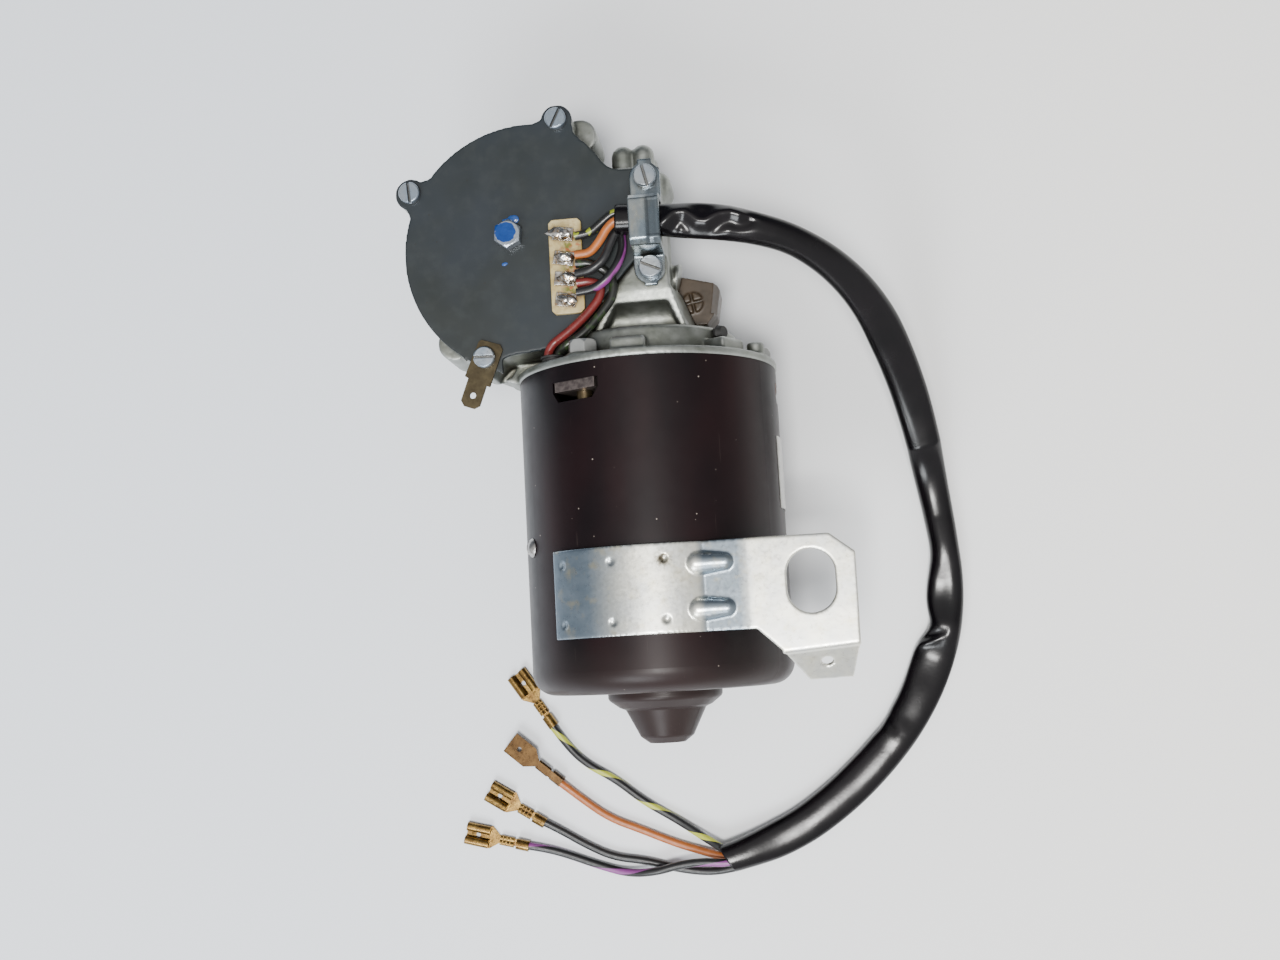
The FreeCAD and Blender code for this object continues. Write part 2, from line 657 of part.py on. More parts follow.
def output_fittings():
    """Bush, seal, washer and circlip on the output shaft."""
    x, y = size("gear_x"), size("gear_y")
    radius, low = size("output_radius"), size("boss_low")
    running = radius + size("running_gap")
    housing_bore = 8 - size("press_gap")
    bush = turned_z([(running, low + 3), (housing_bore, low + 3), (housing_bore, size("cup_inside")),
                     (running, size("cup_inside"))], x, y)
    solid("output_bush", bush)
    seal = turned_z([(running, low + 0.2), (housing_bore, low + 0.2), (housing_bore, low + 2.9),
                     (7.2, low + 2.9), (7.2, low + 1.2), (running, low + 1.2)], x, y)
    solid("shaft_seal", seal)
    washer = turned_z([(running, low - 0.85), (10, low - 0.85), (10, low - 0.05),
                       (running, low - 0.05)], x, y)
    solid("thrust_washer", washer)
    clip = turned_z([(radius - 0.55, low - 2.0), (8.2, low - 2.0), (8.2, low - 1.0),
                     (radius - 0.55, low - 1.0)], x, y)
    gap = block((x - 12, y - 1.8, 0), (x, y + 1.8, low))
    solid("shaft_circlip", clip.cut(gap))


# ---------------------------------------------------------------- gear housing

COVER_EDGE = [(-42.6, 5.8), (-39.5, 6.8), (-33.8, 7.3), (-26.6, 8.1), (-21.0, 10.9), (-14.5, 17.0),
              (-5.5, 27.5), (2.5, 36.0), (8.0, 42.5)]
COVER_SHOULDER = [(-17.0, 76.8), (-14.9, 74.3), (-12.9, 72.4), (-10.3, 69.4), (-8.3, 66.4), (-6.5, 64.5),
                  (-4.2, 63.4), (0, 63.0)]


def beyond_edge(inset, low, high):
    """The side of the cover's cut-away edge where the wires run, moved inwards by inset."""
    start, end = Vector(*COVER_EDGE[3], 0), Vector(*COVER_EDGE[-1], 0)
    along = (end - start).normalize()
    inwards = Vector(-along.y, along.x, 0) * inset
    line = [Vector(x, y, 0) + inwards for x, y in COVER_EDGE]
    corners = [(v.x, v.y) for v in line]
    return prism([(COVER_EDGE[0][0], -60)] + corners + [(60, 42.5), (60, -60)], low, high)


def beyond_shoulder(inset, low, high):
    """The corner between the far lobe and the clamp, where the outline runs inside the circle."""
    corners = [(x - 0.7 * inset, y - 0.7 * inset) for x, y in COVER_SHOULDER]
    return prism([(corners[0][0], 95)] + corners + [(40, corners[-1][1]), (40, 95)], low, high)


def cover_plan(grow, low, high):
    """The cover's outline as a solid: a round plate, three lobes, a tongue for the clamp."""
    x, y = size("cup_x"), size("cup_y")
    radius = size("cover_radius") + grow
    whole = Part.makeCylinder(radius, high - low, Vector(x, y, low))
    centre = Vector(x, y, 0)
    for lobe_x, lobe_y in SCREW_LOBES:
        lobe = Part.makeCylinder(size("lobe_radius") + grow, high - low, Vector(lobe_x, lobe_y, low))
        out = (Vector(lobe_x, lobe_y, 0) - centre).normalize()
        side = Vector(-out.y, out.x, 0)
        wide, slim = 10.5 + grow, size("lobe_radius") - 0.4 + grow
        inner = centre + out * (size("cover_radius") - 3)
        outer = Vector(lobe_x, lobe_y, 0) - out * 0.4
        waist = centre + out * (size("cover_radius") + 0.1)
        corners = [inner + side * wide, waist + side * (slim + 1.7), outer + side * slim,
                   outer - side * slim, waist - side * (slim + 1.7), inner - side * wide]
        whole = whole.fuse(lobe).fuse(prism([(v.x, v.y) for v in corners], low, high))
    tongue = prism([(-6.2 - grow, 65.6 + grow), (9.6 + grow, 65.6 + grow), (9.6 + grow, 50.0 - grow),
                    (-6.2, 47.0 - grow)], low, high)
    whole = whole.fuse(tongue).cut(beyond_shoulder(-grow, low - 1, high + 1))
    return whole.cut(beyond_edge(-grow, low - 1, high + 1)).removeSplitter()


def housing_neck():
    """Bell between the dome and the worm tube, scooped out between two side ribs."""
    wide = [(-16.5, 47), (-14.5, 60), (15.5, 60), (18.5, 47), (18.5, 31), (11, 17), (-11, 17), (-16.5, 31)]
    slim = [(-12.2, 51), (-8.3, 63.2), (11.2, 63.2), (13.2, 52), (12.8, 30), (7, 26), (-7, 26), (-12.2, 32)]
    wires = []
    for corners, y in ((wide, 11.5), (slim, 24.6)):
        spots = [Vector(x, y, z) for x, z in corners]
        wires.append(Part.makePolygon(spots + spots[:1]))
    neck = Part.makeLoft(wires, True, True)
    plan = prism([(-11.8, 11.9), (-6.6, 20.6), (9.7, 20.6), (13.3, 11.9)], 40, 80)
    top, floor, back = 72, 54.5, 20.6
    lines = [Part.LineSegment(Vector(-30, 11.9, floor), Vector(-30, 15.5, floor)).toShape(),
             Part.Arc(Vector(-30, 15.5, floor), Vector(-30, 19.2, 56.4),
                      Vector(-30, back, 61)).toShape(),
             Part.LineSegment(Vector(-30, back, 61), Vector(-30, back, top)).toShape(),
             Part.LineSegment(Vector(-30, back, top), Vector(-30, 11.9, top)).toShape(),
             Part.LineSegment(Vector(-30, 11.9, top), Vector(-30, 11.9, floor)).toShape()]
    side = Part.Face(Part.Wire(lines)).extrude(Vector(60, 0, 0))
    return neck.cut(plan.common(side))


def flange_dome():
    """The round end that closes the can, with its step ring, pads and spigot."""
    rim, thick = size("flange_radius"), size("flange_thick")
    ring, top = size("ring_radius"), size("ring_top")
    dome = turned_y([(0, 0), (rim, 0), (rim, thick), (ring + 1.7, 4), (ring + 1, top - 0.8),
                     (ring, top), (0, top)])
    inside = size("can_radius") - size("can_wall")
    spigot = turned_y([(inside - 1.2, -3), (inside - 0.1, -3), (inside - 0.1, 0.5), (inside - 1.2, 0.5)])
    dome = dome.fuse(spigot)
    for x, z in bolt_spots():
        dome = dome.fuse(rod(5.2, (x, 0.5, z), (x, size("bolt_seat"), z)))
    pad_block = block((-7.2, 2, 69), (3.4, 7.3, 76.6))
    upright = [edge for edge in pad_block.Edges
               if abs(edge.tangentAt(edge.FirstParameter).y) < 0.1 and edge.CenterOfMass.y > 7]
    pad_block = pad_block.makeFillet(1.2, upright)
    second = pad_block.copy()
    second.rotate(AXIS, Y_AXIS, 56)
    x, z = on_circle(38.2, 21)
    stud = rod(2.7, (x, 1, z), (x, 6.6, z))
    return dome.fuse(pad_block).fuse(second).fuse(stud)


def gear_cup(low, high, inset):
    """The round pot about the wheel, bulged where the wheel runs close to its wall."""
    cup = Part.makeCylinder(size("cover_radius") - 0.5 - inset, high - low,
                            Vector(size("cup_x"), size("cup_y"), low))
    bulge = Part.makeCylinder(35.4 - inset, high - low, Vector(size("gear_x"), size("gear_y"), low))
    return cup.fuse(bulge)


def housing_outside():
    """The whole casting before its cavity and its bores are cut."""
    lip, floor = size("cup_lip"), size("cup_floor")
    gear_x, gear_y = size("gear_x"), size("gear_y")
    whole = gear_cup(floor, 52, 0)
    rim = [edge for edge in whole.Edges if abs(edge.BoundBox.ZMax - floor) < 0.01
           and edge.BoundBox.ZLength < 0.01]
    whole = whole.makeFillet(3, rim).cut(beyond_shoulder(0.6, floor - 1, 53))
    whole = whole.fuse(cover_plan(-0.3, 44, lip))
    whole = whole.fuse(flange_dome()).fuse(housing_neck())
    whole = whole.fuse(worm_tube())
    whole = clamp_deck(whole, lip)
    whole = lugs_and_web(whole, lip)
    whole = whole.fuse(output_bosses(floor))
    whole = whole.cut(cover_plan(0.35, lip, 70))
    for x, z in bolt_spots():
        whole = whole.cut(rod(4.8, (x, size("bolt_seat"), z), (x, 14, z)))
    return whole


def bolt_spots():
    """The x and z of the three through bolts."""
    return [on_circle(size("bolt_circle"), size("bolt_angle") - 120 * k) for k in range(3)]


def mount_spots():
    """The x and y of the three mounting bosses, with the angle each stands at."""
    spots = []
    for angle in (30, 150, 270):
        turn, reach = math.radians(angle), size("mount_circle") / 2
        spots.append((size("gear_x") + reach * math.cos(turn), size("gear_y") + reach * math.sin(turn), angle))
    return spots


def worm_tube():
    """The tube about the worm and two rounded lumps under its far end."""
    tube = rod(size("tube_radius"), (0, 18, AXIS.z), (0, 67, AXIS.z))
    tube = tube.fuse(rod(7.2, (0, 60, AXIS.z), (0, 73, AXIS.z)))
    for x in (-3.5, 3.0):
        tube = tube.fuse(rod(3.7, (x, 56, 45.4), (x, 73.2, 45.4)))
        tube = tube.fuse(Part.makeSphere(3.7, Vector(x, 73.2, 45.4)))
    return tube


def clamp_deck(whole, lip):
    """Add the deck under the clamp, a groove across it, its side boss and its side nipple."""
    deck = prism([(-12.5, 24.4), (-8.0, 24.4), (10.8, 24.4), (10.8, 33.5), (9.3, 36.5), (9.3, 62.4),
                  (7.6, 64.2), (-5, 64.2), (-6, 45)], 44, lip)
    ledge = prism([(-9.2, 25.4), (10.8, 25.4), (10.8, 33.5), (9.3, 36.5), (9.3, 49.2), (-3, 49.2)],
                  lip - 1.4, size("deck_top"))
    groove = block((-20, 24.6, lip - 1.4), (20, 25.4, lip + 3))
    whole = whole.fuse(deck).cut(groove).fuse(ledge)
    boss = rod(4.2, (7.9, 60.7, 40), (7.9, 60.7, 52))
    whole = whole.fuse(boss).fuse(Part.makeSphere(4.2, Vector(7.9, 60.7, 52)))
    nipple_end = (13.2, 29.4, 52.5)
    whole = whole.fuse(rod(4.0, (2, 32.2, 52.5), nipple_end))
    return whole.fuse(rod(4.6, (11.9, 29.72, 52.5), nipple_end))


def lugs_and_web(whole, lip):
    """Add the lugs beside two cover lobes, and a low web between the cup and the flange."""
    for x, y in ((-60.4, 14.6), (-16.6, 79.6)):
        whole = whole.fuse(rod(5.5, (x, y, 31), (x, y, 52)))
    valley = prism([(-48, 0.5), (-46.6, 3.4), (-43.4, 6.4), (-26, 7.3), (-26, 0.2), (-40, 0.2)], 45, lip)
    web = prism([(-45.2, 1.6), (-42.5, 2.8), (-41.1, 5.4), (-39.8, 6.3), (-34.7, 6.8), (-27, 9),
                 (-27, 0.1), (-41.4, 0.1)], 34, 50)
    return whole.cut(valley.cut(flange_dome())).fuse(web)


def output_bosses(floor):
    """The output shaft's boss, three mounting bosses and the ribs between them."""
    gear_x, gear_y = size("gear_x"), size("gear_y")
    whole = rod(size("boss_radius"), (gear_x, gear_y, size("boss_low")), (gear_x, gear_y, floor + 1))
    for x, y, angle in mount_spots():
        whole = whole.fuse(rod(6, (x, y, size("mount_low")), (x, y, floor + 1)))
        rib = block((0, -2, 17), (size("mount_circle") / 2, 2, floor + 1))
        rib.Placement = Placement(Vector(gear_x, gear_y, 0), Rotation(Z_AXIS, angle))
        whole = whole.fuse(rib)
    return whole


def gear_housing(outside):
    """One aluminium die casting: can flange, neck, worm tube and gear cup."""
    lip, inside = size("cup_lip"), size("cup_inside")
    gear_x, gear_y = size("gear_x"), size("gear_y")
    # gear cavity, kept off the clamp screws and the wire side
    cavity = gear_cup(inside, 46, size("cup_wall"))
    cavity = cavity.fuse(Part.makeCylinder(size("cover_radius") - 0.5 - size("cup_wall"), lip + 1 - inside,
                                           Vector(size("cup_x"), size("cup_y"), inside)))
    cavity = cavity.cut(beyond_edge(size("cup_wall"), inside - 1, lip + 2))
    cavity = cavity.cut(beyond_shoulder(1.4 * size("cup_wall"), inside - 1, lip + 2))
    for x, y in CLAMP_SCREWS:
        cavity = cavity.cut(rod(4.6, (x, y, inside - 1), (x, y, lip + 2)))
    whole = outside.cut(cavity)
    # bores along the motor axis
    whole = whole.cut(turned_y([(0, -4), (36.4, -4), (36.4, 0.9), (26, 1.5), (26, 9.2), (11, 9.2),
                                (11, 20.1), (size("tube_bore"), 20.1), (size("tube_bore"), 59.4),
                                (6, 59.4), (6, 65.1), (4, 65.1), (4, 74), (0, 74)]))
    # bores along the gear axis
    whole = whole.cut(rod(8, (gear_x, gear_y, size("boss_low") - 1), (gear_x, gear_y, inside + 1)))
    low = size("mount_low")
    for x, y, angle in mount_spots():
        whole = whole.cut(rod(size("mount_thread"), (x, y, low - 1), (x, y, low + size("mount_depth"))))
    # holes for the through bolts, the leads, the drain plug and the screws
    for x, z in bolt_spots():
        whole = whole.cut(rod(size("bolt_radius") + 0.1, (x, -5, z), (x, 8, z)))
    x, z = GROMMET
    whole = whole.cut(rod(3.4, (x, -5, z), (x, 12, z)))
    plug_in, plug_out = DRAIN
    whole = whole.cut(rod(1.65, plug_in, plug_out))
    for x, y in SCREW_LOBES + CLAMP_SCREWS:
        whole = whole.cut(rod(size("screw_core") + 0.05, (x, y, 50), (x, y, 70)))
    solid("gear_housing", whole.removeSplitter())


def drain_plug():
    """Rubber plug pressed into the side of the dome's step ring."""
    plug_in, plug_out = DRAIN
    run = (Vector(*plug_out) - Vector(*plug_in)).normalize()
    outside = Vector(*plug_in) + run * 4.2
    stem = rod(1.6, plug_in, tuple(outside + run * 0.2))
    head = Part.makeCone(2.4, 1.8, 1.9, outside, run)
    solid("drain_plug", stem.fuse(head))


GROMMET = on_circle(36.0, 137.5)
DRAIN = ((on_circle(26.2, 35)[0], 10, on_circle(26.2, 35)[1]),
         (on_circle(33, 35)[0], 10, on_circle(33, 35)[1]))
LEAD_HOLES = [(GROMMET[0] - 1.6, GROMMET[1] + 0.2), (GROMMET[0] + 1.6, GROMMET[1] + 0.2)]


def lead_grommet():
    """Rubber bush in the flange where the two motor leads go in."""
    x, z = GROMMET
    shape = rod(3.38, (x, 0.6, z), (x, 4.3, z)).fuse(rod(3.9, (x, 4.3, z), (x, 4.9, z)))
    for hole_x, hole_z in LEAD_HOLES:
        shape = shape.cut(rod(size("lead_radius") + 0.05, (hole_x, -2, hole_z), (hole_x, 8, hole_z)))
    solid("lead_grommet", shape)


# ---------------------------------------------------------------- cover and what it carries

def cover():
    """The stamped cover plate and the gasket under it."""
    gasket_low = size("cup_lip")
    cover_low = gasket_low + size("gasket_thick")
    cover_high = cover_low + size("cover_thick")
    gear_x, gear_y = size("gear_x"), size("gear_y")
    plate = cover_plan(0, cover_low, cover_high)
    plate = plate.fuse(rod(6, (gear_x, gear_y, 58), (gear_x, gear_y, cover_low + 0.5)))
    plate = plate.cut(rod(3.05, (gear_x, gear_y, 50), (gear_x, gear_y, 70)))
    seal = cover_plan(-0.3, gasket_low, cover_low)
    opening = Part.makeCylinder(size("cover_radius") - 0.5 - size("cup_wall"), 2,
                                Vector(size("cup_x"), size("cup_y"), gasket_low - 1))
    opening = opening.cut(beyond_edge(size("cup_wall"), gasket_low - 2, cover_low + 2))
    opening = opening.cut(beyond_shoulder(1.4 * size("cup_wall"), gasket_low - 2, cover_low + 2))
    for x, y in CLAMP_SCREWS:
        opening = opening.cut(rod(4.6, (x, y, 60), (x, y, 66)))
    seal = seal.cut(opening)
    for x, y in SCREW_LOBES + CLAMP_SCREWS:
        drill = rod(size("screw_core") + 0.15, (x, y, 60), (x, y, 66))
        plate = plate.cut(drill)
        seal = seal.cut(drill)
    for y in TAB_ROWS:
        plate = plate.cut(block((-22.2, y - 1.7, 60), (-19.8, y + 1.7, 66)))
    solid("cover_plate", plate.removeSplitter())
    solid("cover_gasket", group(seal.removeSplitter().Solids))


def slotted_screw(x, y, seat, angle, radius):
    """Cheese-head screw with its slot turned by angle; seat is the face under the head."""
    high = size("screw_head_high")
    head = rod(radius, (x, y, seat), (x, y, seat + high))
    head = head.makeChamfer(0.35, [edge for edge in head.Edges
                                   if isinstance(edge.Curve, Part.Circle)
                                   and edge.CenterOfMass.z > seat + high - 0.1])
    slot = Part.makeBox(2 * radius + 2, 0.9, 2, Vector(-radius - 1, -0.45, 0))
    slot.Placement = Placement(Vector(x, y, seat + high - 1.1), Rotation(Z_AXIS, angle))
    stem = rod(size("screw_core"), (x, y, 51), (x, y, seat + 0.2))
    return head.cut(slot).fuse(stem)


def cover_screws():
    top = size("cup_lip") + size("gasket_thick") + size("cover_thick")
    seats = [top, top, top + size("tab_thick")]
    angles = [63, 95, -2]
    screws = [slotted_screw(x, y, seat, angle, size("screw_head"))
              for (x, y), seat, angle in zip(SCREW_LOBES, seats, angles)]
    solid("cover_screws", group(screws))
    seats = [top + size("clamp_thick"), size("deck_top") + size("clamp_thick")]
    screws = [slotted_screw(x, y, seat, angle, size("screw_head") + 0.2)
              for (x, y), seat, angle in zip(CLAMP_SCREWS, seats, [103, -25])]
    solid("clamp_screws", group(screws))


def axle_adjusting_screw():
    """Hexagon screw through the cover that sets the output shaft's end play."""
    top = size("cup_lip") + size("gasket_thick") + size("cover_thick")
    x, y = size("gear_x"), size("gear_y")
    head = hexagon(8, 0, 4, 0, 0).common(Part.makeCone(10.7, 3.8, 4))
    head.rotate(Vector(), Z_AXIS, 24)
    head.translate(Vector(x, y, top))
    stem = rod(3, (x, y, size("output_top") + 0.1), (x, y, top + 0.2))
    solid("axle_adjusting_screw", head.fuse(stem))


def terminal_strip():
    """Moulded strip with four solder tabs; contact springs hang below it in the cup."""
    made = new_body("terminal_strip", "Sizes.strip_x", "Sizes.strip_y",
                    "Sizes.cup_lip + Sizes.gasket_thick + Sizes.cover_thick")
    drawn = new_sketch(made, "XY_Plane", "strip_plan")
    wide, long = "Sizes.strip_wide", "Sizes.strip_long"
    outline(drawn, [(1.2, 0), (wide + " - 1.2", 0), (wide, 1.2), (wide, long + " - 1.2"),
                    (wide + " - 1.2", long), (1.2, long), (0, long + " - 1.2"), (0, 1.2)])
    pad(made, drawn, "strip_plate", "Sizes.strip_thick")
    top = size("cup_lip") + size("gasket_thick") + size("cover_thick") + size("strip_thick")
    tabs, springs = [], []
    for y, lean in zip(TAB_ROWS, (-9, -12, -8, -10)):
        plate = block((-3.4, -2.1, 0), (3.0, 2.1, 0.7))
        bead = Part.makeSphere(2.3, Vector(0.6, -0.2, -0.9)).common(block((-4, -3, 0.3), (4, 3, 3)))
        tab = plate.fuse(bead)
        tab.rotate(Vector(), Z_AXIS, lean)
        tab.translate(Vector(-21.2, y, top))
        tabs.append(tab)
        profile = [(-21.4, top - size("strip_thick")), (-20.6, top - size("strip_thick")), (-20.6, 58),
                   (-25.2, 44.35), (-26.0, 43.95), (-21.4, 57.6)]
        pin = [Vector(x, y - 1.2, z) for x, z in profile]
        springs.append(Part.Face(Part.makePolygon(pin + pin[:1])).extrude(Vector(0, 2.4, 0)))
    solid("terminal_tabs", group(tabs))
    solid("contact_springs", group(springs))


def bent_strip(points, thick, left, right):
    """A strip of sheet along x, bent to a side view of (y, z) points on its lower face."""
    spots = [Vector(0, y, z) for y, z in points]
    upper = []
    for i, spot in enumerate(spots):
        before = (spot - spots[i - 1]).normalize() if i else None
        after = (spots[i + 1] - spot).normalize() if i + 1 < len(spots) else None
        first = before or after
        second = after or before
        normal_one = Vector(0, -first.z, first.y)
        normal_two = Vector(0, -second.z, second.y)
        middle = (normal_one + normal_two).normalize()
        upper.append(spot + middle * (thick / middle.dot(normal_one)))
    corners = [(v.y, v.z) for v in spots + upper[::-1]]
    return side_prism(corners, left, right)


def cable_clamp():
    """Zinc-plated strap over the harness, one screw at each end."""
    top = size("cup_lip") + size("gasket_thick") + size("cover_thick")
    wide, thick = size("clamp_wide"), size("clamp_thick")
    band_low = top + size("clamp_rise")
    deck = size("deck_top")
    points = [(25.2, deck), (35.0, deck), (36.0, deck + 1.4), (36.5, deck + 5.4), (36.9, band_low - 1.2),
              (38.0, band_low), (49.4, band_low), (50.5, band_low - 1.2), (51.2, top + 0.8), (52.0, top),
              (65.4, top)]
    strap = bent_strip(points, thick, 0.2, wide + 0.2)
    centre_x = 5.1
    lower = block((-1, 20, deck - 1), (wide + 1, CLAMP_SCREWS[1][1], deck + 3))
    strap = strap.cut(lower.cut(rod(4.85, (centre_x, CLAMP_SCREWS[1][1], deck - 1),
                                    (centre_x, CLAMP_SCREWS[1][1], deck + 3)))
                      .cut(block((3.2, 25.2, deck - 1), (7.2, 30, deck + 3))))
    upper = block((-1, CLAMP_SCREWS[0][1], top - 1), (wide + 1, 70, top + 3))
    strap = strap.cut(upper.cut(rod(4.85, (centre_x, CLAMP_SCREWS[0][1], top - 1),
                                    (centre_x, CLAMP_SCREWS[0][1], top + 3)))
                      .cut(block((2.9, 60, top - 1), (7.3, 65.4, top + 3))))
    for x, y in CLAMP_SCREWS:
        strap = strap.cut(rod(size("screw_core") + 0.15, (x, y, 60), (x, y, 70)))
    solid("cable_clamp", strap.cut(cover_plan(0.05, size("cup_lip"), top)))


def earth_tab():
    """Brass blade under one cover screw."""
    made = new_body("earth_tab", "-47.9", "6.2",
                    "Sizes.cup_lip + Sizes.gasket_thick + Sizes.cover_thick",
                    Rotation(Z_AXIS, -20.9))
    drawn = new_sketch(made, "XY_Plane", "tab_plan")
    outline(drawn, [
        (-3.0, 5.2), (-3.65, 4.4), (-4.4, -7.2), (-3.15, -7.5), (-3.15, -14.8), (-1.7, -16.2),
        (1.7, -16.2), (3.15, -14.8), (3.15, -8.2), (4.3, -8.2), (4.5, 4.0), (3.2, 5.4)])
    circle(drawn, 0, -12.3, 1.0)
    circle(drawn, 0, 0, "Sizes.screw_core + 0.15")
    pad(made, drawn, "tab_plate", "Sizes.tab_thick")


def breather_cap(outside):
    """Moulded cap over the housing's side vent, with a cross-cut valve on top."""
    outer = prism([(10.5, 31.9), (24.6, 28.2), (25.3, 27.2), (23.9, 19.2), (20.9, 15.2), (11.5, 14.6)],
                  31, 48.2)
    slope = Part.Face(Part.makePolygon([
        Vector(25.6, 29.0, 43), Vector(24.0, 18.6, 43), Vector(21.8, 18.6, 49), Vector(23.4, 29.0, 49),
        Vector(25.6, 29.0, 43)]))
    outer = outer.cut(slope.extrude(Vector(6, 0, 0)))
    body_shape = outer.cut(outside)
    x, y = 16.6, 22.3
    lobes = Part.makeCylinder(3.3, 2.2, Vector(x, y, 47.4))
    for angle in (10, 100):
        cut = Part.makeBox(8, 0.9, 3, Vector(-4, -0.45, 0))
        cut.Placement = Placement(Vector(x, y, 48.2), Rotation(Z_AXIS, angle))
        lobes = lobes.cut(cut)
    whole = body_shape.fuse(lobes).cut(outside)
    solid("breather_cap", group([max(whole.Solids, key=lambda item: item.Volume)]))


# ---------------------------------------------------------------- bracket

def mounting_bracket():
    """Galvanised sheet bracket: a strap welded on the can, a slotted plate and a lip."""
    thick = size("bracket_thick")
    near, far = -size("strap_near"), -size("strap_far")
    inner = size("can_radius") + size("press_gap")
    outer = inner + thick
    low = size("plate_low")
    strap = arc_band(inner, outer, 66.2, 131.6, near, far)
    x_in, z_in = on_circle(inner, 66.2)
    x_out, z_out = on_circle(outer, 66.2)
    section = [Vector(x_in, near, z_in), Vector(30, near, low), Vector(31, near, low),
               Vector(31, near, low + thick), Vector(30, near, low + thick), Vector(x_out, near, z_out)]
    arm = Part.Face(Part.makePolygon(section + section[:1])).extrude(Vector(0, far - near, 0))
    plate = prism([(30, near), (53.7, near), (60.9, -61.8), (60.7, -87.2), (38.5, -88.8),
                   (31.5, far), (30, far)], low, low + thick)
    slot_x, slot_y, half_wide = size("opening_x"), size("opening_y"), size("opening_wide") / 2
    ends = size("opening_long") / 2 - half_wide
    for y in (slot_y - ends, slot_y + ends):
        plate = plate.cut(rod(half_wide, (slot_x, y, low - 1), (slot_x, y, low + 3)))
    plate = plate.cut(block((slot_x - half_wide, slot_y - ends, low - 1),
                            (slot_x + half_wide, slot_y + ends, low + 3)))
    # the lip hangs from the plate's lower edge, bent down about that edge
    start, end = Vector(38.5, -88.8, low + thick), Vector(60.7, -87.2, low + thick)
    along = (end - start).normalize()
    length = (end - start).Length
    lip = prism([(0, 0), (length, 0), (length - 3.2, -13.2), (6.6, -12.4)], -thick, 0)
    lip = lip.cut(rod(size("lip_hole"), (12.2, -6.2, -3), (12.2, -6.2, 3)))
    lip.rotate(Vector(), Vector(1, 0, 0), 40)
    lip.rotate(Vector(), Z_AXIS, math.degrees(math.atan2(along.y, along.x)))
    lip.translate(start)
    bend = Part.makeCylinder(thick, length, start - Vector(0, 0, thick), along, 360)
    bend = bend.common(block((30, -95, low), (61.5, -80, low + thick)))
    bend = bend.common(prism([(38.5, -88.8), (60.7, -87.2), (60.9, -91), (38.4, -91)], low, low + thick))
    whole = strap.fuse(arm).fuse(plate).fuse(lip).fuse(bend)
    # two pressed beads across the first bend, six weld spots on the strap
    guard = turned_y([(0, far), (inner, far), (inner, near), (0, near)])
    below = [section[0], section[1], Vector(40, near, low), Vector(40, near, 50), Vector(0, near, 50)]
    under = Part.Face(Part.makePolygon(below + below[:1])).extrude(Vector(0, far - near, 0))
    for y in (-62.4, -75.7):
        first, second = Vector(14.9, y, 78.0), Vector(23.4, y, 78.7)
        wide, slim = 3.7, 2.7
        bead = Part.makeCone(wide, slim, (second - first).Length, first, second - first)
        bead = bead.fuse(Part.makeSphere(wide, first)).fuse(Part.makeSphere(slim, second))
        whole = whole.fuse(bead.cut(guard).cut(under))
    for angle in (82, 103.3, 126.2):
        for y in (-60.6, -78.2):
            x, z = on_circle(outer + 1.3, angle)
            whole = whole.cut(Part.makeSphere(1.9, Vector(x, y, z)))
    solid("mounting_bracket", whole.removeSplitter())


# ---------------------------------------------------------------- wires

def wire_path(points):
    """Straight runs joined by tangent arcs as large as the shorter run allows."""
    spots = [Vector(*point) for point in points]
    edges, radii = [], []
    start = spots[0]
    for before, corner, after in zip(spots, spots[1:], spots[2:]):
        run_in, run_out = corner - before, after - corner
        turn = run_in.getAngle(run_out)
        reach = 0.45 * min(run_in.Length, run_out.Length)
        radii.append(reach / math.tan(turn / 2))
        enter = corner - Vector(run_in).normalize() * reach
        leave = corner + Vector(run_out).normalize() * reach
        inwards = (Vector(run_out).normalize() - Vector(run_in).normalize()).normalize()
        depth = radii[-1] / math.cos(turn / 2) - radii[-1]
        edges.append(Part.LineSegment(start, enter).toShape())
        edges.append(Part.Arc(enter, corner + inwards * depth, leave).toShape())
        start = leave
    edges.append(Part.LineSegment(start, spots[-1]).toShape())
    return Part.Wire(edges), radii


def wire_tube(label, points, radius):
    """A round wire or sleeve along its route; the volume must be section times length."""
    path, radii = wire_path(points)
    run = Vector(*points[1]) - Vector(*points[0])
    section = Part.Face(Part.Wire(Part.makeCircle(radius, Vector(*points[0]), run)))
    tube = path.makePipe(section)
    ratio = tube.Volume / (math.pi * radius ** 2 * path.Length)
    print("%-20s length %6.1f  smallest radius %5.1f  volume ratio %.4f"
          % (label, path.Length, min(radii), ratio))
    if abs(ratio - 1) > 0.01:
        raise ValueError(label + " is not a clean tube")
    solid(label, tube)


SLEEVE_ROUTE = [
    (-4.2, 45.3, 68.7), (13.0, 44.2, 68.7), (33.0, 41.5, 68.0), (54.0, 35.5, 59.5),
    (71.5, 22.5, 42.5), (81.8, 2.5, 25.7), (88.8, -22.0, 11.9), (92.8, -48.0, 5.6),
    (94.4, -73.0, 3.8), (88.2, -97.0, 3.6), (74.6, -118.5, 3.8), (55.4, -137.8, 3.7),
    (33.0, -152.2, 3.6), (14.0, -157.2, 3.6)]

